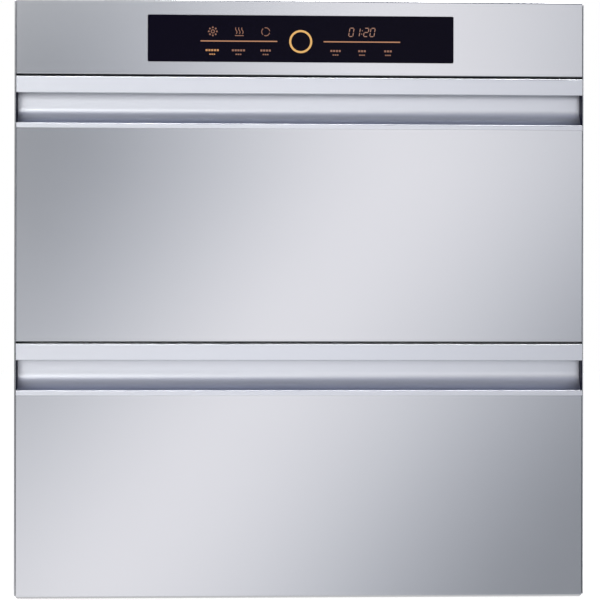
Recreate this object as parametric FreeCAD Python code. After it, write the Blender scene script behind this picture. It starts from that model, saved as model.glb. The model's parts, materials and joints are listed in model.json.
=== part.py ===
import FreeCAD, Part
import math
import os

from FreeCAD import Vector

# Built-in disinfection cabinet: a sheet-metal carcass with two heated chambers, one above the
# other, each closed by a drawer that runs on three-part telescopic slides.
# Millimetres. +X is to the right of the front, +Y to the back, +Z up. The origin is on the shelf
# under the feet, at the middle of the width and of the depth.

# Driving dimensions: the front, top to bottom
FRONT_W = 593.4
FASCIA_H = 79.0
UPPER_FRONT_H = 277.0
LOWER_FRONT_H = 266.0
FRONT_GAP = 2.0
SHELF_GAP = 3.0
DEPTH = 450.0

# Drawer fronts and fascia
FRONT_T = 22.0
PANEL_SETBACK = 0.6
SKIN_T = 0.8
BACKING_T = 0.8
BACKING_INSET = 1.0
EDGE_R = 2.5
GAP_EDGE_R = 1.0
SIDE_BEVEL = 0.4
CORNER_R = 4.0
CORNER_BREAK = 0.15
JOINT_GAP = 0.1
FASCIA_LIP = 14.0
PAN_DEPTH = 4.0
PAN_MARGIN = 16.0
PAN_TAB_GAP = 17.1
TRIM_T = 1.4
TRIM_FIT = 0.4
TRIM_END = 2.6
TRIM_CORNER_R = 1.2
TRIM_EDGE_R = 1.0

# Handle extrusion
HANDLE_H = 54.0
STRIP_H = 5.5
LIP_H = 17.5
RECESS_D = 15.0
SCOOP_H = 11.0
SCOOP_R = 6.0
SCOOP_SLOPE = 45.0
HOOK_H = 8.0
HANDLE_WALL = 2.0
HANDLE_EDGE_R = 2.0
LIP_EDGE_R = 0.7
END_EDGE_R = 0.4
SCREW_RIB_H = 8.0
CAP_T = 0.6
CAP_SETBACK = 0.8
CAP_FIT = 0.15

# Display window
GLASS_W = 320.0
GLASS_T = 4.0
GLASS_FIT = 0.3
GLASS_TOP = 16.6
GLASS_BOTTOM = 13.8
GLASS_CORNER_R = 1.2
HOUSING_RIM = 8.0
HOUSING_WALL = 2.0
HOUSING_D = 20.0
BOARD_T = 1.6
BOARD_FIT = 1.0
POST_R = 3.0

# Carcass
SIDE_OVERLAP = 18.7
BODY_TOP_DROP = 13.0
SHEET = 0.8
REAR_FLANGE = 14.0
COVER_FLANGE = 12.0
BASE_LIP = 4.5
BACK_STANDOFF = 10.0
FOOT_H = 12.0
FOOT_R = 18.0
FOOT_INSET = 40.0
FOOT_RECESS_R = 6.0
FOOT_RECESS_D = 5.0
VENT_COUNT = 9
VENT_L = 60.0
VENT_H = 4.0
VENT_PITCH = 10.0
SIDE_VENTS = 4
BEAD_R = 12.0
BEAD_RISE = 1.6
BEAD_END = 36.0
FIXING_R = 2.25
FIXING_SPAN_Z = 480.0

# Chambers
SIDE_SPACE = 24.0
REAR_CLEAR = 3.6
CHAMBER_INSET = 20.0
LOWER_FLOOR_INSET = 30.0
LAND = 16.0
LINER_T = 0.6
LINER_CORNER_R = 8.0
GASKET_T = 6.0
GASKET_FIT = 0.3
GASKET_W = 11.0
GASKET_EDGE_R = 2.0
GASKET_OUT = 3.0
SLAB_FIT = 1.0

# Telescopic slides
RAIL_H = 45.0
RAIL_T = 12.5
RAIL_SHEET = 1.2
RAIL_FIT = 0.5
RAIL_LIP = 3.5
RAIL_RISE = 48.0
RAIL_FRONT = 2.0
RAIL_REAR = 8.0

# Drawer brackets and wire baskets
BRACKET_T = 1.2
BRACKET_OFF = 1.2
BRACKET_H = 48.0
BRACKET_REAR = 6.0
BRACKET_TAB = 26.0
LEDGE_W = 16.0
PAD_H = 24.0
PAD_L = 40.0
PAD_INSET = 20.0
BASKET_SIDE_GAP = 3.0
BASKET_FRONT_GAP = 14.0
BASKET_REAR = 17.0
UPPER_BASKET_H = 120.0
LOWER_BASKET_H = 96.0
ROD_R = 2.5
WIRE_R = 1.5
WIRE_PITCH = 24.0
WELD_GAP = 0.1
PIN_COUNT = 12
PIN_PITCH = 26.0
PIN_H = 78.0
PIN_ROWS = 150.0
MAGNET_L = 20.0
MAGNET_W = 6.0
MAGNET_T = 4.0
REED_L = 26.0
REED_T = 8.0

# Electronics
TRAY_RISE = 14.0
TRAY_FLANGE = 10.0
STANDOFF_H = 6.0
POWER_BOARD = (150.0, 100.0)
RELAY = (19.0, 16.0, 16.0)
RELAY_AT = (14.0, 12.0)
RELAY_PITCH = 24.0
RELAY_COUNT = 4
FUSE_AT = (20.0, 44.0)
FUSE_L = 22.0
FUSE_R = 4.5
FUSE_RISE = 4.0
CAN_AT = (64.0, 50.0)
CAN_R = 9.0
CAN_H = 22.0
TERMINALS = (50.0, 18.0, 15.0)
TERMINALS_AT = (92.0, 74.0)
TRANSFORMER = (56.0, 48.0, 46.0)
TRANSFORMER_FOOT = (10.0, 2.0)
OZONE_BOX = (70.0, 46.0, 30.0)
OZONE_CORNER_R = 3.0
HOSE_STUB_L = 12.0
HOSE_STUB_R = 4.0
CUTOUT_R = 8.0
CUTOUT_L = 12.0
CUTOUT_EAR = (12.0, 2.0)
BLADE_TERMINAL = (0.8, 8.0, 6.0)

# Hot-air unit behind the upper chamber
DUCT_W = 220.0
DUCT_H = 124.0
DUCT_D = 32.0
DUCT_WALL = 1.0
FAN_X = -46.0
FAN_R = 44.0
FAN_DEPTH = 20.0
FAN_HUB_R = 8.0
FAN_DISC_T = 1.2
FAN_BLADES = 24
BLADE_T = 1.0
BLADE_W = 12.0
BLADE_SLANT = 35.0
SHAFT_R = 3.0
SHAFT_FIT = 0.05
SHAFT_HOLE_FIT = 3.0
MOTOR_R = 28.0
MOTOR_L = 15.0
HEATER_X = 58.0
HEATER_W = 64.0
HEATER_FINS = 14
FIN_T = 1.2
GRILLE_SLOT_H = 4.0
GRILLE_PITCH = 9.0
GRILLE_SHARE = 0.8

# Lamp and infrared tubes
LAMP_R = 8.0
LAMP_L = 300.0
LAMP_DROP = 34.0
LAMP_OFF = 26.0
HOLDER_W = 14.0
TUBE_R = 5.0
TUBE_END_GAP = 54.0
TUBE_OFF = 17.0
TUBE_RISE = (56.0, 136.0)
TUBE_FIT = 0.1
SOCKET_L = 18.0
SOCKET_D = 24.0
GUARD_WIRE_R = 1.2
LAMP_CLEAR = 3.0
GUARD_OFF = 34.0
GUARD_MARGIN = 26.0

# Cord gland and screws
GLAND_BORE_R = 4.0
GLAND_R = 8.0
GLAND_FLANGE_R = 12.0
GLAND_FLANGE_T = 3.0
GLAND_INSIDE = 8.0
GLAND_FIT = 0.1
SCREW_R = 1.9
SCREW_HOLE_R = 2.0
SCREW_HEAD_R = 3.6
SCREW_HEAD_H = 2.2
SCREW_SLOT = 0.8

# Places worked out from the sizes
Y_FRONT = -DEPTH / 2
Y_PANEL = Y_FRONT + PANEL_SETBACK
Y_FRONT_BACK = Y_FRONT + FRONT_T
Y_LAND = Y_FRONT_BACK + GASKET_T
Y_BODY_BACK = DEPTH / 2 - BACK_STANDOFF
Y_BACK_INNER = Y_BODY_BACK - SHEET
Y_LINER_BACK = Y_BACK_INNER - REAR_CLEAR - MOTOR_L - DUCT_D - LINER_T
Y_GUARD_FRONT = Y_LINER_BACK - GUARD_OFF - ROD_R
HANDLE_D = FRONT_T - BACKING_T
GLASS_H = FASCIA_H - GLASS_TOP - GLASS_BOTTOM

LOWER_Z0 = SHELF_GAP
LOWER_Z1 = LOWER_Z0 + LOWER_FRONT_H
UPPER_Z0 = LOWER_Z1 + FRONT_GAP
UPPER_Z1 = UPPER_Z0 + UPPER_FRONT_H
FASCIA_Z0 = UPPER_Z1 + FRONT_GAP
FASCIA_Z1 = FASCIA_Z0 + FASCIA_H
BODY_Z0 = FOOT_H
BODY_Z1 = FASCIA_Z1 - BODY_TOP_DROP
LOWER_CHAMBER = (LOWER_Z0 + LOWER_FLOOR_INSET, LOWER_Z1 - CHAMBER_INSET)
UPPER_CHAMBER = (UPPER_Z0 + CHAMBER_INSET, UPPER_Z1 - CHAMBER_INSET)

FRONT_X = FRONT_W / 2
BODY_X = FRONT_X - SIDE_OVERLAP
BODY_INNER_X = BODY_X - SHEET
FLANGE_X = FRONT_X + TRIM_FIT + TRIM_T
CHAMBER_X = BODY_X - SIDE_SPACE
TUBE_L = 2 * (CHAMBER_X - TUBE_END_GAP)
TRAY_Z = UPPER_CHAMBER[1] + LINER_T + TRAY_RISE

TOL = 1e-4
X, Y, Z = 0, 1, 2


def block(x, y, z):
    """Box between two limits on each axis."""
    low = [min(pair) for pair in (x, y, z)]
    size = [abs(pair[1] - pair[0]) for pair in (x, y, z)]
    return Part.makeBox(size[0], size[1], size[2], Vector(*low))


def rod(start, end, radius):
    """Round bar between two points."""
    line = Vector(*end) - Vector(*start)
    return Part.makeCylinder(radius, line.Length, Vector(*start), line)


def joined(shapes):
    """One solid from pieces that overlap or touch."""
    first, *rest = shapes
    return first.multiFuse(rest).removeSplitter() if rest else first


def without(shape, cutters):
    """The shape with every cutter taken out of it."""
    return shape.cut(Part.makeCompound(cutters))


def mirrored(shape):
    """The same piece for the other side of the cabinet."""
    return shape.mirror(Vector(0, 0, 0), Vector(1, 0, 0))


def pair(shape):
    """A piece and its mirror image."""
    return [shape, mirrored(shape)]


def at(edge, axis, value):
    """True if the whole edge lies at one coordinate."""
    points = [vertex.Point[axis] for vertex in edge.Vertexes] + [edge.CenterOfMass[axis]]
    return all(abs(p - value) < TOL for p in points)


def along(edge, axis):
    """True if the edge is a straight line along an axis."""
    if not isinstance(edge.Curve, Part.Line):
        return False
    return abs(abs(edge.Curve.Direction[axis]) - 1) < TOL


def rounded(shape, radius, test):
    """Fillets the edges that pass a test."""
    return shape.makeFillet(radius, [edge for edge in shape.Edges if test(edge)])


def profile(points):
    """Face from outline points; a point given as (through, end) is an arc."""
    edges = []
    last = points[0]
    for point in points[1:] + [points[0]]:
        if isinstance(point[0], Vector):
            edges.append(Part.Arc(last, point[0], point[1]).toShape())
            last = point[1]
        else:
            edges.append(Part.makeLine(last, point))
            last = point
    return Part.Face(Part.Wire(edges))


def slot(width, height, depth):
    """Round-ended slot cutter at the origin: its length is along X and it cuts through along Y."""
    r = height / 2
    reach = width / 2 - r
    middle = block((-reach, reach), (-depth, depth), (-r, r))
    ends = [rod((s * reach, -depth, 0), (s * reach, depth, 0), r) for s in (-1, 1)]
    return joined([middle] + ends)


def placed(shape, place, axis=(0, 0, 1), angle=0):
    """A copy of a piece made at the origin, turned and then moved to its place."""
    copy = shape.copy()
    copy.rotate(Vector(0, 0, 0), Vector(*axis), angle)
    copy.translate(Vector(*place))
    return copy


def screw(length):
    """Pan-head screw at the origin: the head stands out along +Y and the shank runs along -Y."""
    head = rod((0, 0, 0), (0, SCREW_HEAD_H, 0), SCREW_HEAD_R)
    head = rounded(head, SCREW_HEAD_H / 3, lambda edge: at(edge, Y, SCREW_HEAD_H))
    shank = rod((0, 0, 0), (0, -length, 0), SCREW_R)
    arm = SCREW_HEAD_R * 0.6
    deep = (SCREW_HEAD_H / 2, SCREW_HEAD_H + 1)
    half = SCREW_SLOT / 2
    cross = [
        block((-arm, arm), deep, (-half, half)),
        block((-half, half), deep, (-arm, arm)),
    ]
    return without(joined([head, shank]), cross)


def screw_hole(x, z, y0, y1):
    """Clearance hole for a screw that runs along Y."""
    return rod((x, y0, z), (x, y1, z), SCREW_HOLE_R)


# Front skins and fascia


def corner_waste(x, level, up, radius, y):
    """What a rounded corner takes off a square one; up is 1 at a top corner and -1 at a bottom one.

    The arc meets the sides at a slight angle, so it leaves no sliver where the bends run out."""
    side = math.copysign(1, x)
    centre_x = x - side * (radius - CORNER_BREAK)
    centre_z = level - up * (radius - CORNER_BREAK)
    square = block((centre_x, x + side), y, (centre_z, level + up))
    return square.cut(rod((centre_x, y[0], centre_z), (centre_x, y[1], centre_z), radius))


def side_bevels(x, front, z):
    """Wedges that break the upright front edges of a block."""
    wedges = []
    for side in x:
        out = math.copysign(SIDE_BEVEL, side)
        places = ((-2, -1), (1, 2), (1, -1))
        face = profile([Vector(side + i * out, front + j * SIDE_BEVEL, z[0] - 1) for i, j in places])
        wedges.append(face.extrude(Vector(0, 0, z[1] - z[0] + 2)))
    return wedges


def soft_block(x, y, z, inset, top_r, bottom_r):
    """Block taken in by an inset on every side but the back, with its front edges bent over.

    An end with the full bend is an outer end of the front, so its corners are rounded too."""
    x = (x[0] + inset, x[1] - inset)
    z = (z[0] + inset, z[1] - inset)
    front = y[0] + inset
    body = block(x, (front, y[1]), z)
    for level, up, radius in ((z[1], 1, top_r), (z[0], -1, bottom_r)):
        if radius > inset:
            body = rounded(
                body, radius - inset, lambda e: along(e, X) and at(e, Y, front) and at(e, Z, level)
            )
        if radius == EDGE_R:
            waste = [corner_waste(side, level, up, CORNER_R - inset, y) for side in x]
            body = without(body, waste)
    if inset == 0:
        body = without(body, side_bevels(x, front, z))
    return body


def folded_tray(x, y, z, top_r, bottom_r):
    """Front skin folded from sheet: a face with four returns, open at the back."""
    outside = soft_block(x, y, z, 0, top_r, bottom_r)
    inside = soft_block(x, (y[0], y[1] + 1), z, SKIN_T, top_r, bottom_r)
    return outside.cut(inside)


def front_skin(z0, z1, bottom_r):
    """Steel skin of a drawer front, under its handle."""
    top = z1 - HANDLE_H - JOINT_GAP
    back = Y_FRONT_BACK - BACKING_T
    return folded_tray((-FRONT_X, FRONT_X), (Y_PANEL, back), (z0, top), 0, bottom_r)


def edge_strip():
    """Right-hand steel strip that stands on the flange and closes the ends of the gaps."""
    x = (FRONT_X + TRIM_FIT, FLANGE_X)
    z = (LOWER_Z0 + TRIM_END, FASCIA_Z1 - TRIM_END)
    bar = block(x, (Y_PANEL, Y_LAND), z)
    bar = rounded(bar, TRIM_CORNER_R, lambda e: along(e, Y) and at(e, X, FLANGE_X))
    return rounded(bar, TRIM_EDGE_R, lambda e: along(e, Z) and at(e, X, FLANGE_X) and at(e, Y, Y_PANEL))


def window_z():
    """Lower and upper edge of the display glass."""
    top = FASCIA_Z1 - GLASS_TOP
    return top - GLASS_H, top


def control_fascia():
    """Folded steel strip over the drawers, with the display window and a lip turned in at the back,
    and the two edge strips that frame the front."""
    x, y, z = (-FRONT_X, FRONT_X), (Y_PANEL, Y_LAND), (FASCIA_Z0, FASCIA_Z1)
    tray = folded_tray(x, y, z, EDGE_R, GAP_EDGE_R)
    lip = soft_block(x, y, z, 0, EDGE_R, GAP_EDGE_R).common(block(x, (Y_LAND - SKIN_T, Y_LAND), z))
    open_x = FLANGE_X - FASCIA_LIP
    open_z = (FASCIA_Z0 - 1, BODY_Z1 - COVER_FLANGE)
    lip = lip.cut(block((-open_x, open_x), (Y_LAND - 2 * SKIN_T, Y_LAND + 1), open_z))
    z0, z1 = window_z()
    half = GLASS_W / 2 + GLASS_FIT
    window = block((-half, half), (Y_PANEL - 1, Y_PANEL + SKIN_T), (z0 - GLASS_FIT, z1 + GLASS_FIT))
    window = rounded(window, GLASS_CORNER_R + GLASS_FIT, lambda e: along(e, Y))
    return [joined([tray, lip]).cut(window)] + pair(edge_strip())


def display_glass():
    """Black glass plate that fills the fascia's window."""
    half = GLASS_W / 2
    glass = block((-half, half), (Y_PANEL, Y_PANEL + GLASS_T), window_z())
    glass = rounded(glass, GLASS_CORNER_R, lambda e: along(e, Y))
    return rounded(glass, GLASS_FIT, lambda e: at(e, Y, Y_PANEL))


def board_places():
    """The four posts of the display housing, as (x, z)."""
    z0, z1 = window_z()
    x = GLASS_W / 2 - 2 * HOUSING_RIM
    inset = HOUSING_RIM + POST_R
    return [(sx * x, z) for sx in (-1, 1) for z in (z0 + inset, z1 - inset)]


def board_housing():
    """Plastic tray behind the glass: its rim bears on the fascia and its ledge on the glass."""
    z0, z1 = window_z()
    half = GLASS_W / 2 + HOUSING_RIM
    front = Y_PANEL + SKIN_T
    back = front + HOUSING_D
    tray = block((-half, half), (front, back), (z0 - HOUSING_RIM, z1 + HOUSING_RIM))
    tray = rounded(tray, HOUSING_RIM / 2, lambda e: along(e, Y))
    seat = block(
        (-GLASS_W / 2 - GLASS_FIT, GLASS_W / 2 + GLASS_FIT),
        (front, Y_PANEL + GLASS_T),
        (z0 - GLASS_FIT, z1 + GLASS_FIT),
    )
    hollow_half = GLASS_W / 2 - HOUSING_WALL
    hollow = block(
        (-hollow_half, hollow_half),
        (front, back - HOUSING_WALL),
        (z0 + HOUSING_WALL, z1 - HOUSING_WALL),
    )
    posts = [
        rod((x, board_back(), z), (x, back - HOUSING_WALL, z), POST_R) for x, z in board_places()
    ]
    return joined([without(tray, [seat, hollow])] + posts)


def board_back():
    """Rear face of the control board."""
    return Y_PANEL + SKIN_T + HOUSING_D / 2


def control_board():
    """Circuit board with its touch springs and the digit module under the glass."""
    z0, z1 = window_z()
    half = GLASS_W / 2 - HOUSING_WALL - BOARD_FIT
    back = board_back()
    face = back - BOARD_T
    edge = HOUSING_WALL + BOARD_FIT
    board = block((-half, half), (face, back), (z0 + edge, z1 - edge))
    middle = (z0 + z1) / 2
    reach = face - (Y_PANEL + GLASS_T) - BOARD_FIT
    touch_z = z0 + GLASS_H / 4
    touches = [
        rod((sign * x, face, touch_z), (sign * x, face - reach, touch_z), POST_R)
        for sign in (-1, 1)
        for x in (GLASS_W * 0.11, GLASS_W * 0.2, GLASS_W * 0.29)
    ]
    touches.append(rod((0, face, middle), (0, face - reach, middle), 2 * POST_R))
    digits = block(
        (GLASS_W * 0.13, GLASS_W * 0.27), (face - reach, face), (middle + 2, middle + GLASS_H / 3)
    )
    return joined([board, digits] + touches)


# Handles


def handle_points(bottom):
    """Corners that the handle and its end plugs share, as a function of depth and height."""

    def point(depth, height):
        return Vector(0, Y_FRONT + depth, bottom + height)

    return point


def scoop_points(p, fit):
    """Floor of the finger recess from the back wall to the strip, kept clear by a fit: an arc that
    runs out in a slope."""
    radius = SCOOP_R - fit
    centre_y = RECESS_D - SCOOP_R
    centre_z = STRIP_H + SCOOP_H

    def on_arc(angle):
        turn = math.radians(angle)
        return centre_y + radius * math.cos(turn), centre_z - radius * math.sin(turn)

    end_y, end_z = on_arc(SCOOP_SLOPE)
    floor = STRIP_H + fit
    run = (end_z - floor) * math.tan(math.radians(SCOOP_SLOPE))
    arc = (p(*on_arc(SCOOP_SLOPE / 2)), p(end_y, end_z))
    return [p(RECESS_D - fit, centre_z), arc, p(end_y - run, floor)]


def handle_section(bottom):
    """Section of the extrusion: front lip, finger recess with a scooped floor, and lower strip."""
    p = handle_points(bottom)
    wall, depth = HANDLE_WALL, HANDLE_D
    lip_z = HANDLE_H - LIP_H
    hook_z = lip_z + HOOK_H
    back = RECESS_D + wall
    rib = (HANDLE_H - SCREW_RIB_H) / 2
    scoop = scoop_points(p, 0)
    outline = profile(
        [
            p(0, 0),
            p(depth, 0),
            p(depth, wall),
            p(back, wall),
            p(back, rib),
            p(depth, rib),
            p(depth, rib + SCREW_RIB_H),
            p(back, rib + SCREW_RIB_H),
            p(back, HANDLE_H - wall),
            p(depth, HANDLE_H - wall),
            p(depth, HANDLE_H),
            p(0, HANDLE_H),
            p(0, lip_z),
            p(wall, lip_z),
            p(wall, hook_z),
            p(RECESS_D, hook_z),
        ]
        + scoop
        + [p(0, STRIP_H)]
    )
    hollow = profile(
        [
            p(wall, hook_z + wall),
            p(RECESS_D, hook_z + wall),
            p(RECESS_D, HANDLE_H - wall),
            p(wall, HANDLE_H - wall),
        ]
    )
    slope = math.radians(SCOOP_SLOPE)
    ledge = scoop[-1].y - Y_FRONT
    toe = ledge + wall * math.cos(slope) + (wall - STRIP_H + wall * math.sin(slope)) * math.tan(slope)
    peak = wall + (RECESS_D - toe) / math.tan(slope)
    under = profile([p(toe, wall), p(RECESS_D, wall), p(RECESS_D, peak)])
    return outline.cut(Part.makeCompound([hollow, under])).Faces[0]


def handle_screw_places(top):
    """Screws through the backing plate into the handle's rib, as (x, z)."""
    z = top - HANDLE_H / 2
    return [(sign * x, z) for sign in (-1, 1) for x in (FRONT_W * 0.12, FRONT_W * 0.36)]


def handle(top):
    """Aluminium handle across the whole front, eased at its edges and ends."""
    bottom = top - HANDLE_H
    bar = handle_section(bottom).extrude(Vector(FRONT_W, 0, 0))
    bar.translate(Vector(-FRONT_X, 0, 0))
    eased = [(Y_FRONT, top), (Y_FRONT, bottom + STRIP_H)]
    bar = rounded(
        bar,
        HANDLE_EDGE_R,
        lambda e: along(e, X) and any(at(e, Y, y) and at(e, Z, z) for y, z in eased),
    )
    lip_z = top - LIP_H
    bar = rounded(bar, LIP_EDGE_R, lambda e: along(e, X) and at(e, Y, Y_FRONT) and at(e, Z, lip_z))
    bar = rounded(bar, END_EDGE_R, lambda e: along(e, Z) and at(e, Y, Y_FRONT))
    holes = [
        screw_hole(x, z, Y_FRONT + RECESS_D + HANDLE_WALL / 2, Y_FRONT_BACK)
        for x, z in handle_screw_places(top)
    ]
    return without(bar, holes)


def handle_caps(top):
    """Black plugs that close the finger recess at both ends of the handle."""
    p = handle_points(top - HANDLE_H)
    fit = CAP_FIT
    lip_z = HANDLE_H - LIP_H
    hook_z = lip_z + HOOK_H - fit
    face = profile(
        [
            p(CAP_SETBACK, STRIP_H + fit),
            p(CAP_SETBACK, lip_z - fit),
            p(HANDLE_WALL + fit, lip_z - fit),
            p(HANDLE_WALL + fit, hook_z),
            p(RECESS_D - fit, hook_z),
        ]
        + scoop_points(p, fit)
    )
    plug = face.extrude(Vector(CAP_T, 0, 0))
    plug.translate(Vector(FRONT_X - CAP_T, 0, 0))
    return pair(plug)


# Inside of the drawer fronts


def front_backing(z0, z1, chamber):
    """Inner plate of a drawer front, with a pan pressed towards the chamber."""
    x = (-FRONT_X + BACKING_INSET, FRONT_X - BACKING_INSET)
    y = (Y_FRONT_BACK - BACKING_T, Y_FRONT_BACK)
    plate = block(x, y, (z0 + BACKING_INSET, z1 - BACKING_INSET))
    pan_half = bracket_x()[0] - BRACKET_TAB - PAN_TAB_GAP
    pan_x = (-pan_half, pan_half)
    pan_z = (chamber[0] + PAN_MARGIN, chamber[1] - PAN_MARGIN)
    pan_back = Y_FRONT_BACK + PAN_DEPTH
    pan = block(pan_x, (y[0], pan_back), pan_z)
    pan = rounded(pan, PAN_DEPTH * 2, lambda e: along(e, Y))
    pan = rounded(pan, PAN_DEPTH / 2, lambda e: at(e, Y, pan_back))
    t = BACKING_T
    hollow = block(
        (pan_x[0] + t, pan_x[1] - t), (y[0] - 1, pan_back - t), (pan_z[0] + t, pan_z[1] - t)
    )
    hollow = rounded(hollow, PAN_DEPTH * 2 - t, lambda e: along(e, Y))
    hollow = rounded(hollow, PAN_DEPTH / 2 - t, lambda e: at(e, Y, pan_back - t))
    plate = joined([plate, pan]).cut(hollow)
    places = handle_screw_places(z1) + bracket_screw_places(chamber)
    return without(plate, [screw_hole(a, b, y[0] - 1, y[1] + 1) for a, b in places])


def gasket(chamber):
    """Silicone seal on the drawer front, round the mouth of its chamber."""
    y = (Y_FRONT_BACK, Y_LAND - GASKET_FIT)

    def frame(out):
        x = CHAMBER_X + out
        ring = block((-x, x), y, (chamber[0] - out, chamber[1] + out))
        return rounded(ring, LINER_CORNER_R + out, lambda e: along(e, Y))

    ring = frame(GASKET_OUT + GASKET_W).cut(frame(GASKET_OUT))
    return rounded(ring, GASKET_EDGE_R, lambda e: at(e, Y, y[1]))


def front_screws(z1, chamber):
    """Screws on the inside of a drawer front: four into the handle, four through the brackets."""
    in_handle = screw(HANDLE_D - RECESS_D - HANDLE_WALL)
    in_tab = screw(BRACKET_T + 2 * BACKING_T)
    seat = Y_FRONT_BACK + BRACKET_T
    on_plate = [placed(in_handle, (x, Y_FRONT_BACK, z)) for x, z in handle_screw_places(z1)]
    on_tabs = [placed(in_tab, (x, seat, z)) for x, z in bracket_screw_places(chamber)]
    return on_plate + on_tabs


def magnet(z0, z1):
    """Magnet on the drawer front that the reed switch behind the land reads."""
    x1 = BODY_INNER_X - GASKET_FIT
    middle = (z0 + z1) / 2
    z = (middle - MAGNET_L / 2, middle + MAGNET_L / 2)
    return block((x1 - MAGNET_W, x1), (Y_FRONT_BACK, Y_FRONT_BACK + MAGNET_T), z)


# Telescopic slides, drawn for the right-hand wall and mirrored


def channel(wall_x, z, y, near, far, half, lip):
    """Channel of the slide: web at the near side, flanges to the far side, lips turned in.

    near and far count from the chamber wall into the chamber."""
    t = RAIL_SHEET
    left, right = wall_x - far, wall_x - near
    pieces = [block((right - t, right), y, (z - half, z + half))]
    for sign in (-1, 1):
        edge = z + sign * half
        pieces.append(block((left, right), y, (edge, edge - sign * t)))
        pieces.append(block((left, left + t), y, (edge, edge - sign * (t + lip))))
    return joined(pieces)


def slide_sizes():
    """Near, far and half height of the outer, middle and inner channel."""
    step = RAIL_SHEET + RAIL_FIT
    outer = (0.0, RAIL_T, RAIL_H / 2)
    middle = (step, RAIL_T - step, RAIL_H / 2 - step)
    inner = (2 * step, RAIL_T - 2 * step, RAIL_H / 2 - 2 * step)
    return outer, middle, inner


def rail_y():
    """Front and rear end of the closed slides."""
    return Y_LAND + RAIL_FRONT, Y_LINER_BACK - RAIL_REAR


def rail_z(chamber):
    """Height of the slides' centre line."""
    return chamber[0] + RAIL_RISE


def outer_rails(chamber):
    """Fixed members, on the chamber's side walls."""
    near, far, half = slide_sizes()[0]
    return pair(channel(CHAMBER_X, rail_z(chamber), rail_y(), near, far, half, RAIL_LIP))


def middle_rails(chamber):
    """Middle members, which travel half as far as the drawer."""
    near, far, half = slide_sizes()[1]
    return pair(channel(CHAMBER_X, rail_z(chamber), rail_y(), near, far, half, RAIL_LIP))


def inner_rails(chamber):
    """Members that carry the drawer: a channel that opens to the chamber wall."""
    near, far, half = slide_sizes()[2]
    z = rail_z(chamber)
    y = rail_y()
    t = RAIL_SHEET
    left, right = CHAMBER_X - far, CHAMBER_X - near
    pieces = [block((left, left + t), y, (z - half, z + half))]
    for sign in (-1, 1):
        edge = z + sign * half
        pieces.append(block((left, right), y, (edge, edge - sign * t)))
    return pair(joined(pieces))


# Drawer brackets and baskets


def bracket_x():
    """Inner and outer face of the right-hand bracket plate."""
    outer = CHAMBER_X - RAIL_T - BRACKET_OFF
    return outer - BRACKET_T, outer


def bracket_screw_places(chamber):
    """Screws that hold the bracket tabs to the drawer front, as (x, z)."""
    x = bracket_x()[0] - BRACKET_TAB / 2
    z = rail_z(chamber)
    return [(sign * x, z + dz) for sign in (-1, 1) for dz in (-BRACKET_H / 4, BRACKET_H / 4)]


def drawer_brackets(chamber):
    """Steel side brackets: plate, front tab, basket ledge, and pads that reach the inner rail."""
    inner, outer = bracket_x()
    z = rail_z(chamber)
    z0, z1 = z - BRACKET_H / 2, z + BRACKET_H / 2
    y0, y1 = Y_FRONT_BACK, Y_GUARD_FRONT - BRACKET_REAR
    plate = block((inner, outer), (y0, y1), (z0, z1))
    tab = block((inner - BRACKET_TAB, outer), (y0, y0 + BRACKET_T), (z0, z1))
    ledge = block((inner - LEDGE_W, outer), (y0, y1), (z0, z0 + BRACKET_T))
    rail_face = CHAMBER_X - slide_sizes()[2][1]
    starts = (rail_y()[0] + PAD_INSET, y1 - PAD_INSET - PAD_L)
    pads = [
        block((outer, rail_face), (y, y + PAD_L), (z - PAD_H / 2, z + PAD_H / 2)) for y in starts
    ]
    bracket = joined([plate, tab, ledge] + pads)
    holes = [
        screw_hole(x, hz, y0 - 1, y0 + BRACKET_T + 1)
        for x, hz in bracket_screw_places(chamber)
        if x > 0
    ]
    return pair(without(bracket, holes))


def spread(low, high, pitch):
    """Evenly spaced places strictly between two limits, about a pitch apart."""
    count = max(1, round((high - low) / pitch))
    return [low + (high - low) * i / count for i in range(1, count)]


def basket_frame(chamber, height):
    """Rod centre lines of a basket: half width, front, back, floor and rim."""
    half = bracket_x()[0] - BASKET_SIDE_GAP - ROD_R
    front = Y_FRONT_BACK + BASKET_FRONT_GAP
    back = Y_GUARD_FRONT - BASKET_REAR - ROD_R
    floor = rail_z(chamber) - BRACKET_H / 2 + BRACKET_T + WELD_GAP + ROD_R
    return half, front, back, floor, floor + height


def basket(chamber, height):
    """Wire basket welded from a floor grid and four wire walls."""
    half, front, back, floor, rim = basket_frame(chamber, height)
    corners = [(-half, front), (half, front), (half, back), (-half, back)]
    floor_rods = []
    for (xa, ya), (xb, yb) in zip(corners, corners[1:] + corners[:1]):
        floor_rods.append(rod((xa, ya, floor), (xb, yb, floor), ROD_R))
        floor_rods.append(Part.makeSphere(ROD_R, Vector(xa, ya, floor)))
    wires = [rod((x, front, floor), (x, back, floor), WIRE_R) for x in spread(-half, half, WIRE_PITCH)]
    grid = joined(floor_rods + wires)

    foot = floor + ROD_R + WELD_GAP
    walls = []
    for y in (front, back):
        posts = [rod((x, y, foot), (x, y, rim), ROD_R) for x in (-half, half)]
        ends = [Part.makeSphere(ROD_R, Vector(x, y, rim)) for x in (-half, half)]
        top = rod((-half, y, rim), (half, y, rim), ROD_R)
        uprights = [
            rod((x, y, foot), (x, y, rim), WIRE_R) for x in spread(-half, half, WIRE_PITCH)
        ]
        walls.append(joined([top] + posts + ends + uprights))
    inset = ROD_R + WELD_GAP
    for x in (-half, half):
        top = rod((x, front + inset, rim), (x, back - inset, rim), ROD_R)
        uprights = [
            rod((x, y, foot), (x, y, rim), WIRE_R) for y in spread(front, back, WIRE_PITCH)
        ]
        walls.append(joined([top] + uprights))
    return [grid] + walls


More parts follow.
